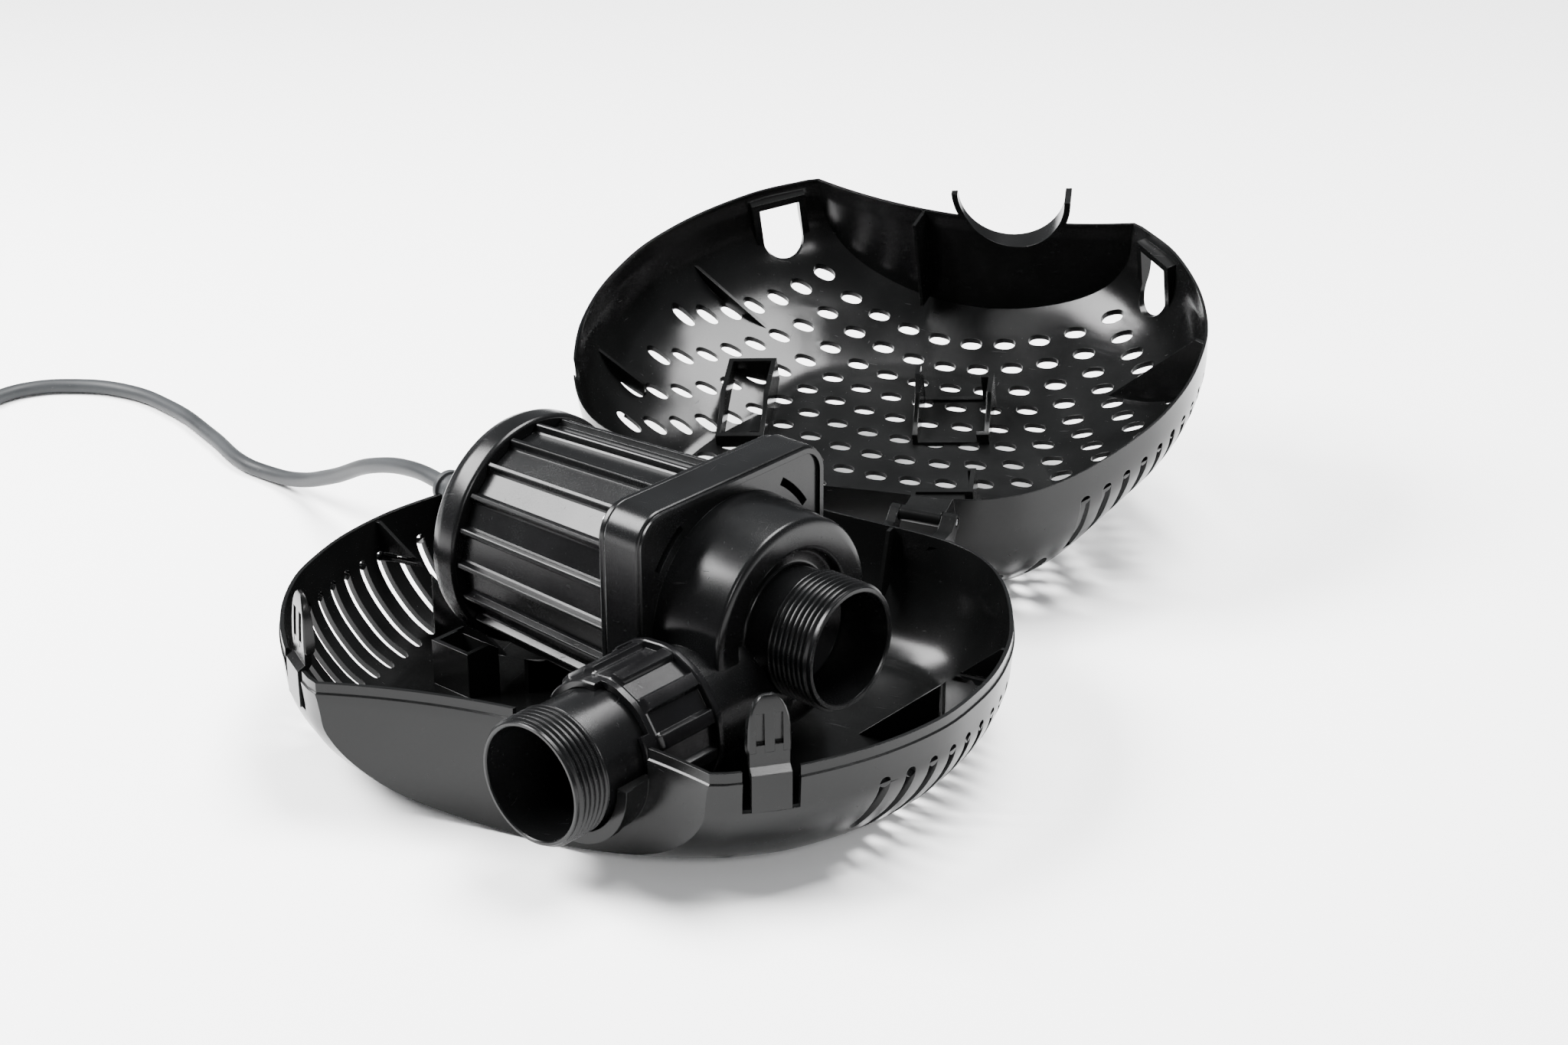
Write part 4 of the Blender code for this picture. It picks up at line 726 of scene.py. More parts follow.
# ---------------------------------------------------------------- materials
class Nodes:
    """Short names for the nodes of one material."""

    def __init__(self, name, metallic=0.0):
        self.material = bpy.data.materials.new(name)
        self.material.use_nodes = True
        self.tree = self.material.node_tree
        self.shader = self.tree.nodes["Principled BSDF"]
        self.shader.inputs["Metallic"].default_value = metallic
        self.place = self.new("ShaderNodeTexCoord").outputs["Object"]

    def new(self, kind, **values):
        """A node with some inputs set; an underscore stands for the space in an input's name."""
        node = self.tree.nodes.new(kind)
        for name, value in values.items():
            node.inputs[name.replace("_", " ")].default_value = value
        return node

    def join(self, output, target):
        self.tree.links.new(output, target)

    def feed(self, value, target):
        """Sets an input to a number or a colour, or joins it to an output."""
        if isinstance(value, (int, float)):
            target.default_value = value
        elif isinstance(value, tuple):
            target.default_value = (*value, 1)
        else:
            self.join(value, target)

    def noise(self, scale, detail=3, stretch=None):
        node = self.new("ShaderNodeTexNoise", Scale=scale, Detail=detail, Roughness=0.5)
        source = self.place
        if stretch:
            mapping = self.new("ShaderNodeMapping", Rotation=stretch[0], Scale=stretch[1])
            self.join(source, mapping.inputs["Vector"])
            source = mapping.outputs["Vector"]
        self.join(source, node.inputs["Vector"])
        return node.outputs["Fac"]

    def span(self, value, low, high, to_low=0.0, to_high=1.0):
        node = self.new("ShaderNodeMapRange", From_Min=low, From_Max=high, To_Min=to_low, To_Max=to_high)
        self.join(value, node.inputs["Value"])
        return node.outputs["Result"]

    def maths(self, operation, a, b):
        node = self.new("ShaderNodeMath")
        node.operation = operation
        self.feed(a, node.inputs[0])
        self.feed(b, node.inputs[1])
        return node.outputs["Value"]

    def mix(self, share, first, second):
        node = self.new("ShaderNodeMix")
        node.data_type = "RGBA"
        self.join(share, node.inputs["Factor"])
        self.feed(first, node.inputs[6])
        self.feed(second, node.inputs[7])
        return node.outputs[2]

    def bump(self, height, distance, strength, after=None):
        node = self.new("ShaderNodeBump", Distance=distance, Strength=strength)
        self.join(height, node.inputs["Height"])
        if after:
            self.join(after, node.inputs["Normal"])
        return node.outputs["Normal"]


def moulded(name, colour, worn, roughness, grain, scratches, edge=0.0):
    """Moulded plastic or rubber: clouded colour, fine grain, faint scratches and specks of dust."""
    made = Nodes(name)
    shader = made.shader
    clouds = made.span(made.noise(CLOUD_SCALE, 4), 0.35, 0.68)
    lines = made.maths("ADD", made.span(made.noise(9, 2, ((0.3, 0.2, 0.5), (6, 90, 60))), 0.70, 0.78),
                       made.span(made.noise(8, 2, ((0.9, -0.4, 1.9), (80, 5, 60))), 0.71, 0.79))
    specks = made.span(made.noise(DUST_SCALE, 1), 0.76, 0.82)
    marks = made.maths("MINIMUM", made.maths("ADD", lines, specks), 1.0)
    faint = made.maths("MULTIPLY", marks, scratches)
    base = made.mix(clouds, colour, tuple(WORN_TINT * part for part in colour))
    made.join(made.mix(faint, base, worn), shader.inputs["Base Color"])
    fine = made.noise(GRAIN_SCALE, 2)
    rough = made.maths("ADD", made.span(clouds, 0, 1, roughness[0], roughness[1]),
                       made.maths("MULTIPLY", marks, 0.12))
    rough = made.maths("ADD", rough, made.span(fine, 0.3, 0.7, -0.03, 0.03))
    made.join(rough, shader.inputs["Roughness"])
    rounded = None
    if edge:
        soft = made.new("ShaderNodeBevel")
        soft.samples = 3
        soft.inputs["Radius"].default_value = edge * MM
        rounded = soft.outputs["Normal"]
    normal = made.bump(fine, grain * MM, 0.5, rounded)
    normal = made.bump(made.noise(WAVE_SCALE, 2), WAVE_HEIGHT * MM, 0.4, normal)
    made.join(normal, shader.inputs["Normal"])
    shader.inputs["Specular IOR Level"].default_value = GLOSS
    return made.material


def metal(name, colour, roughness):
    made = Nodes(name, 1.0)
    brushed = made.noise(40, 3, ((0, 0, 0), (1, 30, 30)))
    tint = tuple(0.7 * part for part in colour)
    made.join(made.mix(made.span(brushed, 0.3, 0.7), colour, tint), made.shader.inputs["Base Color"])
    made.join(made.span(brushed, 0.3, 0.7, roughness, roughness + 0.15), made.shader.inputs["Roughness"])
    made.join(made.bump(brushed, 0.02 * MM, 0.4), made.shader.inputs["Normal"])
    return made.material


# ---------------------------------------------------------------- cord
def coil_points():
    """The wound length: four layers of six turns, then half a turn down the outside."""
    pitch = 2 * CABLE_R
    columns = round(2 * COIL_HALF / pitch)
    layers = round((COIL_HIGH - COIL_LOW) / pitch)
    outermost = COIL_R + COIL_HALF - CABLE_R

    def place(turn):
        layer, column = divmod(turn, columns)
        step = column if layer % 2 == 0 else columns - 1 - column
        return outermost - step * pitch, COIL_LOW + CABLE_R + layer * pitch

    points = []
    turns = layers * columns
    for k in range(1, turns * TURN_POINTS + 1):
        turn, share = divmod(k / TURN_POINTS, 1)
        here = place(min(int(turn), turns - 1))
        there = place(min(int(turn) + 1, turns - 1))
        cross = smooth_step((share - 1 + CROSSING) / CROSSING)
        climb = smooth_step((share - 1 + 2 * CROSSING) / CROSSING)
        radius = here[0] + (there[0] - here[0]) * cross
        height = here[1] + (there[1] - here[1]) * climb
        entry = smooth_step(4 * k / TURN_POINTS)
        if k < TURN_POINTS:
            radius = COIL_SIDE + (radius - COIL_SIDE) * entry
            height = CABLE_R + FLOOR_LIFT + (height - CABLE_R - FLOOR_LIFT) * entry
        points.append((radius, height, k / TURN_POINTS))
    radius, height, _ = points[-1]
    half = TURN_POINTS // 2
    for k in range(1, half):
        out = smooth_step(UNWIND_OUT * k / half)
        down = smooth_step((k / half - UNWIND_FROM) / (1 - UNWIND_FROM))
        low = CABLE_R + FLOOR_LIFT
        points.append((radius + (COIL_SIDE - radius) * out, height + (low - height) * down,
                       turns + k / TURN_POINTS))
    turned_points = []
    for radius, height, turn in points:
        angle = -2 * math.pi * turn
        turned_points.append((COIL_X + radius * math.cos(angle), COIL_Y + radius * math.sin(angle), height))
    return turned_points


def cable_route():
    floor = CABLE_R + FLOOR_LIFT
    start = PUMP @ Vector((CAP_BACK - 24.9, GLAND_Y, GLAND_Z))
    second = PUMP @ Vector((CAP_BACK - 29, GLAND_Y + 0.4, GLAND_Z))
    out = Vector((*GROMMET_OUT, 0))
    middle = Vector((*GROMMET, RIM_Z))
    x = COIL_X - COIL_SIDE
    return [
        start, second, middle - out * 7, middle, middle + out * 7,
        (-150, 82.5, 47.5), (-181, 99, 37), (-214, 116.5, 19), (-243, 130.5, 6.8), (-262, 137.5, floor),
        (-278, 142, floor), (-310, 162, floor), (-348, 183, floor), (-382, 192, floor), (-408, 187, floor),
        (-426, 174, floor), (-433, 156, floor), (-434, 135, floor), (COIL_X + COIL_SIDE, COIL_Y, floor),
        *coil_points(),
        (x, COIL_Y, floor), (x, COIL_Y + 22, floor), (x, COIL_Y + 45, 6), (x, COIL_Y + 72, 14),
        (x, COIL_Y + TAIL_LENGTH, PLUG_Z),
    ]


def cable():
    points = [Vector((p[0], p[1] - CENTRE_Y, p[2])) * MM for p in cable_route()]
    data = bpy.data.curves.new("cable_cord", "CURVE")
    data.dimensions = "3D"
    data.resolution_u = 8
    path = data.splines.new("BEZIER")
    path.bezier_points.add(len(points) - 1)
    for target, point in zip(path.bezier_points, points):
        target.co = point
        target.handle_left_type = target.handle_right_type = "AUTO"
    data.bevel_depth = CABLE_R * MM
    data.bevel_resolution = 6
    data.use_fill_caps = True
    data.materials.append(SKINS["cable_rubber"])
    made = shown("cable_cord", data)
    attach(made, "base")
    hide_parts("cable", "cable_coil", "cable_tail")

    pieces = [coil_tie(), *plug()]


def coil_tie():
    """A narrow strap round the turns, with its lock on top."""
    near, far = COIL_Y + COIL_R - COIL_HALF - TIE_CLEAR, COIL_Y + COIL_R + COIL_HALF + TIE_CLEAR
    low, high = COIL_LOW - TIE_CLEAR, COIL_HIGH + TIE_CLEAR
    middle = ((near + far) / 2, (low + high) / 2)
    half = ((far - near) / 2, (high - low) / 2)
    rings = []
    thick = TIE_REACH - TIE_CLEAR
    edge = thick * TIE_BEVEL
    for x, reach in [(-TIE_WIDTH / 2, 0), (-TIE_WIDTH / 2, edge), (-TIE_WIDTH / 2 + 0.5, thick),
                     (TIE_WIDTH / 2 - 0.5, thick), (TIE_WIDTH / 2, edge), (TIE_WIDTH / 2, 0)]:
        rings.append([(COIL_X + x, y, z) for y, z in rounded(half, TIE_CORNER, 8, reach, middle)])
    lock_low = (COIL_X - TIE_WIDTH / 2 - 1, middle[0] - 4, high + 0.2)
    lock = box(lock_low, (COIL_X + TIE_WIDTH / 2 + 1, middle[0] + 2, high + 4.2))
    solid = worked(loft(rings, closed=True), ("+", lock))
    return piece("coil_strap", solid, "tie_plastic", "coil_tie")


def plug():
    """Round two-pin plug: tapered relief with grooves, gripped body and two pins."""
    place = Matrix.Translation((COIL_X - COIL_SIDE, COIL_Y + TAIL_LENGTH + 1.2, PLUG_Z)) @ \
        Matrix.Rotation(math.radians(90), 4, "Z")
    relief = [(0, 3.5), (0, 4.6)]
    for k in range(RELIEF_RINGS):
        x = 3 + k * RELIEF_PITCH
        radius = 4.7 + k * 0.5
        relief += [(x + along, radius + rise) for along, rise in RELIEF_RIDGE]
    relief += [(PLUG_RELIEF, 7.6), (PLUG_RELIEF, 3.5)]
    solid = turned(fillets(relief, 0.4), 40, closed=False)
    relief_piece = piece("plug_strain_relief", moved(solid, place), "plug_plastic", "plug_relief")
    start = PLUG_RELIEF + GAP
    body = [(start + x, radius) for x, radius in PLUG_SIDE]
    near, far = (start + x for x in PLUG_GRIP_SPAN)
    groove = box((near, PLUG_R - 0.7, -PLUG_GRIP_HALF), (far, PLUG_R + 2, PLUG_GRIP_HALF))
    cuts = [moved(groove, Matrix.Rotation(2 * math.pi * k / PLUG_GRIPS, 4, "X")) for k in range(PLUG_GRIPS)]
    solid = worked(turned(fillets(body, 1.2), 72, closed=False), ("-", joined(*cuts)))
    body_piece = piece("plug_grip", moved(solid, place), "plug_plastic", "plug_body")
    face = start + PLUG_FACE + GAP
    pins = []
    for index, y in enumerate((PIN_PITCH / 2, -PIN_PITCH / 2)):
        pin = [(face - 1, PLUG_PIN_R), (face + PIN_LENGTH, PLUG_PIN_R), (face + PIN_LENGTH + 1, PLUG_PIN_R - 1)]
        solid = moved(turned(fillets(pin, 0.6), 24, closed=False), place @ Matrix.Translation((0, y, 0)))
        pins.append(piece(f"plug_contact_{index + 1}", solid, "steel", f"plug_pin_{index + 1}"))
    return [relief_piece, body_piece, *pins]


# ---------------------------------------------------------------- shells
def levels_of(profile, z, sign, front=0.0):
    return [(inset, front, z + sign * depth) for inset, depth, *_ in profile]


def skin_of_levels(levels, rear):
    return loft([section(inset, rear, front, z) for inset, front, z in levels])


def round_slots(first, count, inner_x, end_z, far_z):
    """Slots through both side walls, rounded at the end by the rim and at their inner end."""
    cuts = []
    radius = SLOT_WIDTH / 2
    low, high = min(end_z, far_z), max(end_z, far_z)
    for k in range(count):
        y = first + k * SLOT_PITCH
        outline = [(SHELL_REACH, y + radius), *arc(radius, 90, 270, 8, (inner_x + radius, y)),
                   (SHELL_REACH, y - radius)]
        body = prism(outline, low, high, along_z)
        tip = prism(circle(radius, 16, (y, end_z)), inner_x + radius, SHELL_REACH, along_x)
        cuts.append(both_sides(joined(body, tip)))
    return joined(*cuts)


def trimmed(levels, rear, sign):
    """The solid inside which the rib work is kept."""
    kept = [(inset + TRIM, TRIM, z + (sign * TRIM if k else 0)) for k, (inset, _, z) in enumerate(levels)]
    return skin_of_levels(kept, rear)


def lower_shell():
    fine = smooth_profile(BOWL, PROFILE_STEPS)
    ledge = [(LEDGE, 0), (LEDGE, LEDGE_DROP), (LEDGE_FADE, LEDGE_DROP + 0.5)]
    outer = levels_of(ledge[:2], RIM_Z, -1, LEDGE) + levels_of(ledge[2:], RIM_Z, -1, 0.2)
    outer += levels_of([pair for pair in fine if pair[1] > LEDGE_DROP + 1], RIM_Z, -1)
    inner = [(WALL, WALL, RIM_Z + CAVITY_RISE)]
    inner += levels_of(offset_profile(fine, WALL), RIM_Z, -1, WALL)
    cavity = skin_of_levels(inner, BOWL_REAR)
    radius = COLLAR_R + COLLAR_WALL + SADDLE_LAP
    centre = (0, -OUTLET_DROP)
    saddle = prism(arc(radius, 180, 360, 60, centre), -COLLAR_FACE, -COLLAR_BACK, along_y)
    band = prism(arc(radius + BAND_RISE, 180, 360, 60, centre), -COLLAR_FACE, -COLLAR_FACE + BAND_WIDTH,
                 along_y)
    trim = trimmed(levels_of(fine, RIM_Z, -1), BOWL_REAR, 1)
    cradle = [box((*low, RIB_FOOT), (*high, top)) for low, high, top in CRADLE]
    ribs = joined(both_sides(gusset(*LOWER_GUSSET)), moved(joined(frame_box(*POCKET), *cradle), FLAT_PUMP))
    rib_work = worked(ribs, ("&", trim), *pump_room_cuts())
    webs = []
    for low, high in KNUCKLES:
        web = [*LOWER_WEB_FOOT, *arc(BARREL_R, -80, 150, 24, (HINGE_Y, HINGE_Z)), *LOWER_WEB_TOP]
        webs.append(both_sides(prism(web, low, high, along_x)))
    fin = both_sides(prism(FIN, *FIN_SPAN, along_x))
    brackets = worked(joined(*webs), ("-", cavity))
    side = COLLAR_R + COLLAR_WALL + GAP
    channel = [(side, CHANNEL_TOP), (-side, CHANNEL_TOP), (-side, -OUTLET_DROP),
               *arc(COLLAR_R, 180, 360, 60, centre), (side, -OUTLET_DROP)]
    slot_end = RIM_Z - SLOT_FROM_RIM - SLOT_WIDTH / 2
    gap = box((LATCH_OPENING[0], -2 * PAST, -LATCH_ROOT), (LATCH_OPENING[1], 2 * PAST, PAST))
    solid = worked(
        skin_of_levels(outer, BOWL_REAR),
        ("+", moved(saddle, PUMP)),
        ("+", moved(band, PUMP)),
        ("-", cavity),
        ("+", rib_work),
        ("+", worked(fin, ("&", trim))),
        ("+", brackets),
        ("-", moved(prism(channel, -COLLAR_FACE - PAST, -COLLAR_BACK, along_y), PUMP)),
        ("-", round_slots(LOWER_SLOT_FIRST, LOWER_SLOT_COUNT, LOWER_SLOT_X, slot_end, -PAST)),
        ("-", in_latch_frames(gap)),
        ("-", grommet_seat()),
        ("-", knuckle_bores()),
    )
    return piece("shell_bowl", solid, "shell_plastic", "lower_shell")


def pump_room_cuts():
    """What keeps the rib work clear of the pump's body and flange."""
    body = turned([(x, ROOM_R) for x in ROOM_SPAN], 72, closed=False)
    outline = rounded_square(FLANGE_HALF + ROOM_SIDE, FLANGE_CORNER, 8)
    flange = prism(outline, FLANGE_BACK - ROOM_BACK, FLANGE_FRONT + ROOM_FRONT, along_x)
    return [("-", moved(solid, PUMP)) for solid in (body, flange)]


def obround(x, y):
    """A drain hole's outline, an ellipse with fuller sides."""
    points = []
    for k in range(HOLE_POINTS):
        angle = 2 * math.pi * k / HOLE_POINTS
        a, b = math.cos(angle), math.sin(angle)
        points.append((x + HOLE_LONG / 2 * math.copysign(abs(a) ** HOLE_FULLNESS, a),
                       y + HOLE_WIDE / 2 * math.copysign(abs(b) ** HOLE_FULLNESS, b)))
    return points


def window_outline(clear):
    """The latch window: flat by the rim, round at its other end."""
    radius = (WINDOW[1] - WINDOW[0]) / 2 + clear
    middle = (WINDOW[0] + WINDOW[1]) / 2
    top = WINDOW_SPAN[1] + clear - radius
    return [(middle - radius, WINDOW_SPAN[0] - clear), (middle + radius, WINDOW_SPAN[0] - clear),
            *arc(radius, 0, 180, 24, (middle, top))]


def lid_shell():
    low = RIM_Z + LID_GAP
    fine = smooth_profile(DOME, PROFILE_STEPS)
    outer = levels_of(fine, low, 1)
    inner = [(LID_LIP, LID_LIP, low - CAVITY_RISE), (LID_LIP, LID_LIP, low + LID_LIP_HEIGHT)]
    inner += [level for level in levels_of(offset_profile(fine, LID_WALL), low, 1, LID_WALL)
              if level[2] > low + LID_LIP_HEIGHT + 0.4]
    cavity = skin_of_levels(inner, DOME_REAR)
    centre = (0, -OUTLET_DROP)
    arch = [(a, max(b, GAP) - OUTLET_DROP) for a, b in arc(COLLAR_R + COLLAR_WALL, 0, 180, 60)]
    arch_block = prism(arch, -COLLAR_FACE, -COLLAR_BACK, along_y)
    ceiling = RIM_Z + DOME[-1][1] - 1
    ribs = [moved(frame_box(first, (*second, ceiling), SOCKET_WALL), FLAT_PUMP) for first, second in SOCKETS]
    ribs += [moved(box(*wall), FLAT_PUMP) for wall in SOCKET_SIDES]
    ribs += [gusset(*LID_GUSSET_LEFT), gusset(*LID_GUSSET_RIGHT), both_sides(gusset(*LID_STUB)),
             box(*LID_FRONT_RIB)]
    ribs.append(in_latch_frames(prism(window_outline(WINDOW_FRAME), *WINDOW_FRAME_SPAN, along_y)))
    rib_work = worked(joined(*ribs), ("&", trimmed(outer, DOME_REAR, -1)), *pump_room_cuts())
    web = [*LID_WEB_FOOT, *arc(BARREL_R, 205, 450, 24, (HINGE_Y, HINGE_Z)), *LID_WEB_TOP]
    arms = worked(both_sides(prism(web, *LID_KNUCKLE, along_x)), ("-", cavity))
    tunnel = [*arc(COLLAR_R, 0, 180, 60, centre), (-COLLAR_R, -OUTLET_DROP - 2 * PAST),
              (COLLAR_R, -OUTLET_DROP - 2 * PAST)]
    window = prism(window_outline(0), *WINDOW_REACH, along_y)
    holes = [prism(obround(x, y), RIM_Z + HOLE_LOW, ceiling + PAST, along_z) for x, y in hole_places()]
    bars = round_slots(LID_SLOT_FIRST, LID_SLOT_COUNT, LID_SLOT_X, RIM_Z + SLOT_FROM_RIM + SLOT_WIDTH / 2,
                       RIM_Z + LID_SLOT_TOP)
    under = [(LID_SLOT_DEPTH, LID_SLOT_DEPTH, low - CAVITY_RISE)]
    under += levels_of(offset_profile(fine, LID_SLOT_DEPTH), low, 1, LID_SLOT_DEPTH)[1:]
    grooves = worked(bars, ("-", skin_of_levels(under, DOME_REAR)))
    solid = worked(
        skin_of_levels(outer, DOME_REAR),
        ("+", moved(arch_block, PUMP)),
        ("-", cavity),
        ("-", joined(*holes)),
        ("+", rib_work),
        ("+", arms),
        ("-", moved(prism(tunnel, -COLLAR_FACE - PAST, -COLLAR_BACK, along_y), PUMP)),
        ("-", grooves),
        ("-", in_latch_frames(window)),
        ("-", grommet_seat()),
        ("-", knuckle_bores()),
    )
    return piece("shell_dome", moved(solid, OPEN), "shell_plastic", "lid_shell", "lid")


def latch(side):
    """A springy tongue with a domed head of three ribs."""
    name = "latch_right" if side > 0 else "latch_left"
    stem = prism(LATCH_STEM_SIDE, *LATCH_STEM, along_x)
    middle = (LATCH_HEAD[0] + LATCH_HEAD[1]) / 2
    half = (LATCH_HEAD[1] - LATCH_HEAD[0]) / 2
    rings = []
    for z, front, back, share in LATCH_HEAD_RINGS:
        reach = half * share
        edge = LATCH_EDGE * share
        rings.append([(middle - reach, -back, z), (middle + reach, -back, z),
                      (middle + reach, -front - LATCH_EDGE, z), (middle + reach - edge, -front, z),
                      (middle - reach + edge, -front, z), (middle - reach, -front - LATCH_EDGE, z)])
    bottom, top = LATCH_GROOVE_SPAN
    grooves = [box((s - LATCH_GROOVE_HALF, LATCH_GROOVE_FLOOR, bottom), (s + LATCH_GROOVE_HALF, 0, top))
               for s in LATCH_GROOVES]
    head = worked(loft(rings), ("-", joined(*grooves)))
    solid = worked(stem, ("+", head))
    return piece(f"{name}_tongue", moved(solid, latch_frame(side)), "shell_plastic", name, name)


# ---------------------------------------------------------------- pump
def fine_thread(start, end, radius):
    crests = int(abs(end - start) / THREAD_PITCH)
    step = math.copysign(THREAD_PITCH, end - start)
    points = []
    for k in range(crests):
        at = start + k * step
        points += [(at + share * step, radius - drop) for share, drop in THREAD_FORM]
    points.append((start + crests * step, radius - THREAD_DEPTH))
    return points


def volute():
    back = FLANGE_BACK + PLATE_THICK + GAP
    flange = plate(FLANGE_HALF, FLANGE_CORNER, back, FLANGE_FRONT, FLANGE_EDGE)
    lip_out = prism(rounded_square(FLANGE_HALF - FLANGE_EDGE, FLANGE_CORNER - FLANGE_EDGE, 14),
                    FLANGE_FRONT - 1, FLANGE_FRONT + BORDER, along_x)
    lip_in = prism(rounded_square(FLANGE_HALF - BORDER_IN, FLANGE_CORNER - BORDER_IN, 14),
                   FLANGE_FRONT - BORDER_FLOOR, FLANGE_FRONT + 4, along_x)
    recess_floor = DRUM_FRONT - RECESS_DEPTH
    drum = fillets([(FLANGE_FRONT - 2 * PAST, DRUM_R_BACK), (FLANGE_FRONT, DRUM_R_BACK),
                    (DRUM_FRONT - DRUM_EDGE * 0.4, DRUM_R_FRONT),
                    (DRUM_FRONT, DRUM_R_FRONT - DRUM_EDGE), (DRUM_FRONT, RECESS_R), (recess_floor, RECESS_R - 0.6),
                    (recess_floor, NECK_R), (THREAD_FROM - GAP, NECK_R)], 1.6, 5)
    drum += [*fine_thread(THREAD_FROM, INLET_FACE - 0.8, INLET_R), (INLET_FACE - 0.3, INLET_R - THREAD_DEPTH),
             (INLET_FACE, INLET_R - THREAD_DEPTH - 0.3)]
    branch = prism(circle(NECK_R, 72, (0, -OUTLET_DROP)), -BRANCH_END, BRANCH_FROM, along_y)
    seat = CHAMBER_R + CHAMBER_STEP
    chamber = [(back - PAST, seat), (-12, seat), (-12, CHAMBER_R), (CHAMBER_FRONT - 1, CHAMBER_R),
               (CHAMBER_FRONT - 1, EYE_R), (16, EYE_R + 1), (20, INLET_BORE), (INLET_FACE - 0.5, INLET_BORE),
               (INLET_FACE + PAST, INLET_BORE + PAST)]
    throat = prism(circle(BRANCH_BORE - THROAT_LESS, 48, (0, -OUTLET_DROP)), -BRANCH_END - 2, THROAT_FROM,
                   along_y)
    slots_cut = []
    for middle in ARC_SLOTS:
        outline = [*arc(SLOT_RING[1], middle - SLOT_HALF_ANGLE, middle + SLOT_HALF_ANGLE, 12),
                   *arc(SLOT_RING[0], middle + SLOT_HALF_ANGLE, middle - SLOT_HALF_ANGLE, 12)]
        slots_cut.append(prism(outline, FLANGE_FRONT - ARC_SLOT_DEPTH, FLANGE_FRONT + PAST, along_x))
    solid = worked(flange, ("+", lip_out), ("-", lip_in), ("+", turned(drum, 128, closed=False)), ("+", branch),
                   ("-", turned(chamber, 96, closed=False)), ("-", throat), ("-", joined(*slots_cut)))
    return piece("volute_body", moved(solid, PUMP), "pump_plastic", "volute_housing")


def motor():
    front = FLANGE_BACK - GAP
    back = MOTOR_BACK + GAP

    def ring(radius, x):
        points = []
        inner = radius - RIB_HEIGHT
        for k in range(RIB_COUNT):
            angle = math.radians(RIB_FIRST + 360 / RIB_COUNT * k)
            out = Vector((math.cos(angle), math.sin(angle)))
            side = Vector((-out.y, out.x))
            for across, height in RIB_SHAPE:
                place = out * (inner + RIB_HEIGHT * height) + side * across * RIB_HALF * RIB_SLIM
                points.append((x, *place))
        return points

    count = RIB_COUNT * len(RIB_SHAPE)
    rings = [ring(RIB_R_FRONT, front), ring(RIB_R_BACK, back)]
    for x in (back, front):
        turn = RIB_FIRST - 2
        rings.append([(x, a, b) for a, b in arc(MOTOR_BORE, turn, turn + 360, count)[:-1]])
    piece("motor_barrel", moved(loft(rings, closed=True), PUMP), "pump_plastic", "motor_housing",
          angle=BARREL_SHARP_ANGLE)

    hole = prism(circle(GLAND_PLUG_R + GAP, 32, (GLAND_Y, GLAND_Z)), CAP_BACK - PAST, MOTOR_BACK + PAST,
                 along_x)
    cup = turned(fillets(CAP_SIDE, 1.2, 4), 128, closed=False)
    solid = worked(cup, ("-", turned(CAP_ROOM, 96, closed=False)), ("-", hole))
    piece("motor_cap", moved(solid, PUMP), "pump_plastic", "rear_cap")

    edge = plate(FLANGE_HALF - 0.8, FLANGE_CORNER, FLANGE_BACK, FLANGE_BACK + PLATE_THICK, PLATE_EDGE)
    centre_hole = prism(circle(CAN_R + GAP, 64), FLANGE_BACK - PAST, FLANGE_BACK + PLATE_THICK + PAST, along_x)
    piece("motor_plate", moved(worked(edge, ("-", centre_hole)), PUMP), "pump_plastic", "motor_flange")


def nut():
    """Union nut with low wide ribs, a ring behind them and a castellated skirt in front."""

    def ribbed(radius, x):
        ring = []
        for k in range(NUT_RIBS):
            middle = NUT_FIRST_RIB + 360 / NUT_RIBS * k
            for turn, height in NUT_RIB_SHAPE:
                angle = math.radians(middle + turn * NUT_RIB_HALF)
                reach = NUT_R + (radius - NUT_R) * height
                ring.append((x, reach * math.cos(angle), reach * math.sin(angle)))
        return ring

    def plain(radius, x):
        return [(x, radius / NUT_R * a, radius / NUT_R * b) for _, a, b in ribbed(NUT_R, x)]

    rings = [plain(NECK_R + 0.5, NUT_BACK), plain(NUT_RING_R - 0.8, NUT_BACK),
             plain(NUT_RING_R - 0.2, NUT_BACK + 0.3), plain(NUT_RING_R, NUT_BACK + 0.9),
             plain(NUT_RING_R, NUT_RIB_BACK - 0.6),
             plain(NUT_RING_R - 0.4, NUT_RIB_BACK - 0.2), ribbed(NUT_RIB_R, NUT_RIB_BACK),
             ribbed(NUT_RIB_R, NUT_RIB_FRONT - 1.2), ribbed(NUT_RIB_R - 0.4, NUT_RIB_FRONT - 0.5),
             ribbed(NUT_R + 0.4, NUT_RIB_FRONT), plain(NUT_R - 0.3, NUT_RIB_FRONT + 0.6),
             plain(NUT_R - 0.4, NUT_FRONT - 0.5), plain(NUT_R - 0.9, NUT_FRONT),
             plain(SPIGOT_NECK + GAP, NUT_FRONT), plain(SPIGOT_NECK + GAP, NUT_BORE_SPAN[1] + 0.4),
             plain(NUT_BORE, NUT_BORE_SPAN[1]), plain(NUT_BORE, NUT_BORE_SPAN[0]),
             plain(NECK_R + 0.5, NUT_BORE_SPAN[0] - 0.6)]
    notches = []
    for k in range(NUT_NOTCHES):
        start = NUT_NOTCH_FIRST + 360 / NUT_NOTCHES * k
        wedge = [(0, 0), *arc(40, start, start + NUT_NOTCH_ANGLE, 12)]
        notches.append(prism(wedge, NUT_FRONT - NUT_TAB_LENGTH, NUT_FRONT + PAST, along_x))
    solid = worked(loft(rings, closed=True), ("-", joined(*notches)))
    return piece("union_ring", moved(solid, OUTLET), "nut_plastic", "union_nut", "union_nut")


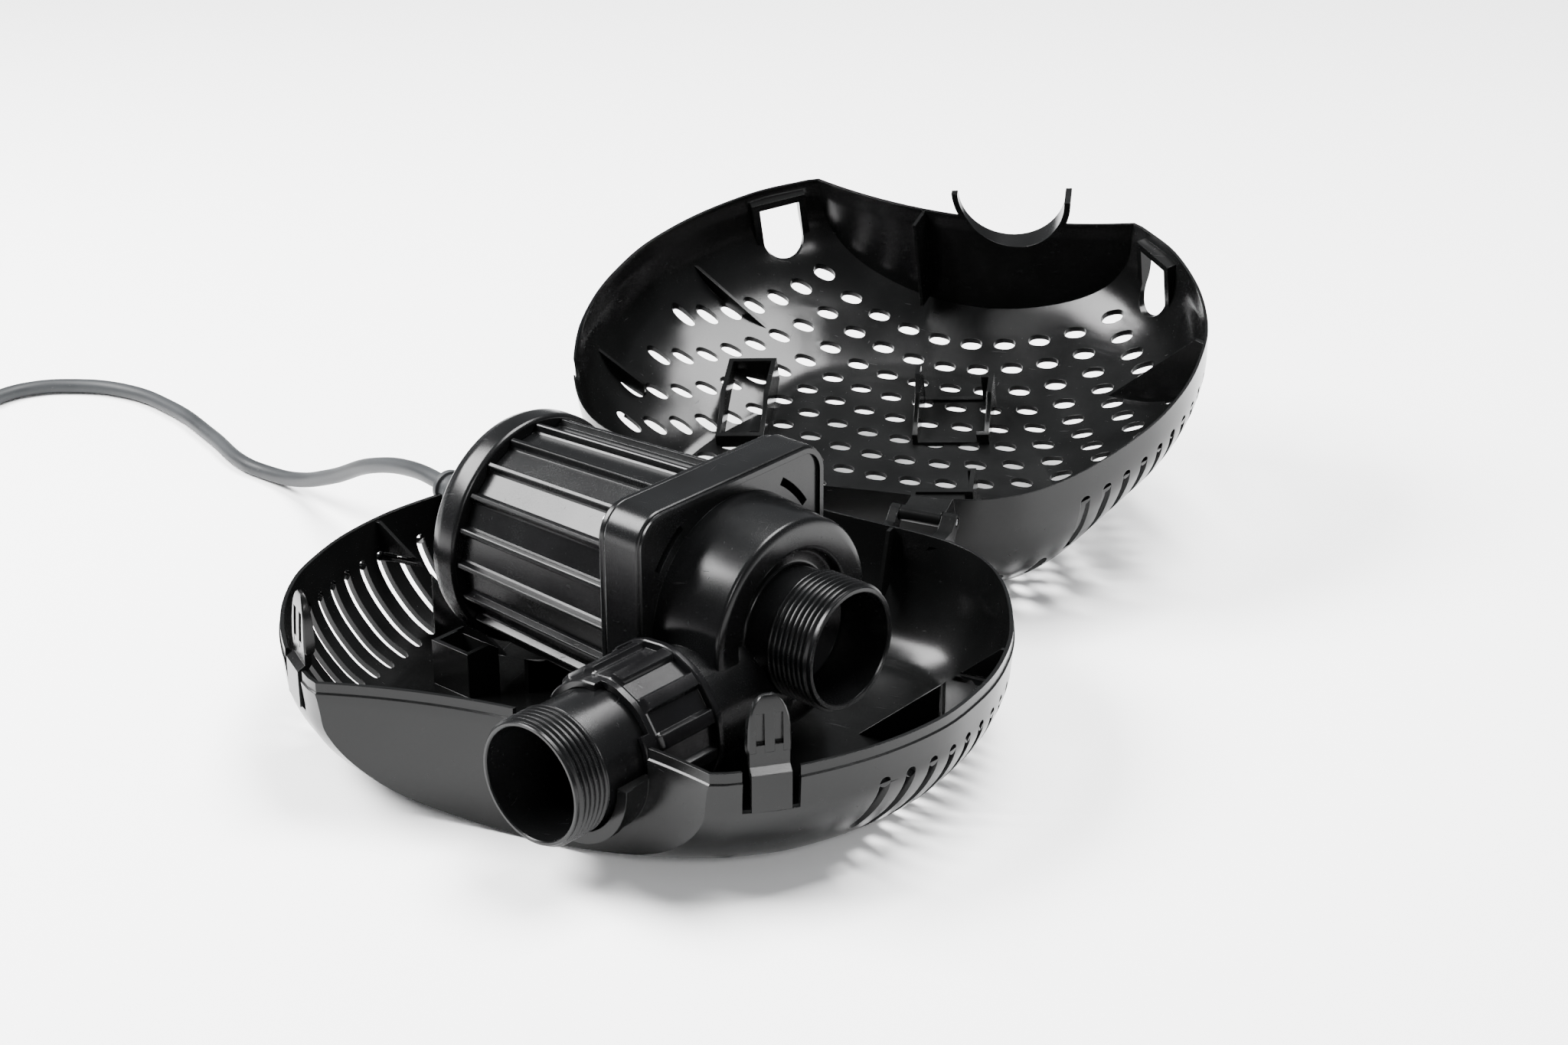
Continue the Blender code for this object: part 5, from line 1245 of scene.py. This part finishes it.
def spigot():
    near, far = SPIGOT_FLANGE
    profile = [(near, BRANCH_BORE), (near, SPIGOT_FLANGE_R), (far, SPIGOT_FLANGE_R), (far, SPIGOT_NECK),
               (SPIGOT_THREAD_END, SPIGOT_NECK),
               *fine_thread(SPIGOT_THREAD_END + 0.3, SPIGOT_FACE - 0.6, SPIGOT_R),
               (SPIGOT_FACE - 0.3, SPIGOT_R - THREAD_DEPTH), (SPIGOT_FACE, SPIGOT_R - THREAD_DEPTH - 0.3),
               (SPIGOT_FACE, SPIGOT_BORE + 0.4), (SPIGOT_FACE - 0.4, SPIGOT_BORE),
               (SPIGOT_TAPER[0], SPIGOT_BORE), (SPIGOT_TAPER[1], BRANCH_BORE)]
    return piece("outlet_tube", moved(turned(profile, 128), OUTLET), "pump_plastic", "outlet_spigot")


def gland():
    seat = CAP_BACK - GAP
    profile = [(CAP_BACK + GLAND_INSIDE, GLAND_PLUG_R), (seat, GLAND_PLUG_R)]
    profile += [(seat - distance, radius) for distance, radius in GLAND_PROFILE[:3]]
    (near, wide), (far, narrow) = GLAND_PROFILE[2:]
    for k in range(1, GLAND_STEPS + 1):
        x = near + (far - near) * k / GLAND_STEPS
        radius = wide + (narrow - wide) * k / GLAND_STEPS
        profile += [(seat - x + back, radius + rise) for back, rise in GLAND_RIDGE]
    place = PUMP @ Matrix.Translation((0, GLAND_Y, GLAND_Z))
    solid = turned(fillets(profile, 0.3, 2), 48, closed=False)
    piece("gland_nut", moved(solid, place), "cable_rubber", "cable_gland")
    bore = CABLE_R + 0.1
    ring = fillets([(GROMMET_SIDE[0][0], bore), *GROMMET_SIDE, (GROMMET_SIDE[-1][0], bore)], 0.5, 4)
    piece("rim_grommet", moved(turned(ring, 64), grommet_place()), "cable_rubber", "cable_grommet")


# ---------------------------------------------------------------- everything
def dress_cad_nodes():
    """Gives the CAD solids that stay their finish, from the record's material slots."""
    for node in frame["nodes"].values():
        for place in node.material_slots:
            wanted = place.material.name.split(".")[0] if place.material else ""
            place.material = SKINS.get(wanted, SKINS["pump_plastic"])


def main():
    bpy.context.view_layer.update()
    camera()
    SKINS.update({name: moulded(name, *recipe) for name, recipe in MOULDED.items()})
    SKINS.update({name: metal(name, *recipe) for name, recipe in METALS.items()})
    cable()
    dress_cad_nodes()
    lower_shell()
    lid_shell()
    for side in (1, -1):
        latch(side)
    volute()
    motor()
    nut()
    spigot()
    gland()
    studio()


main()
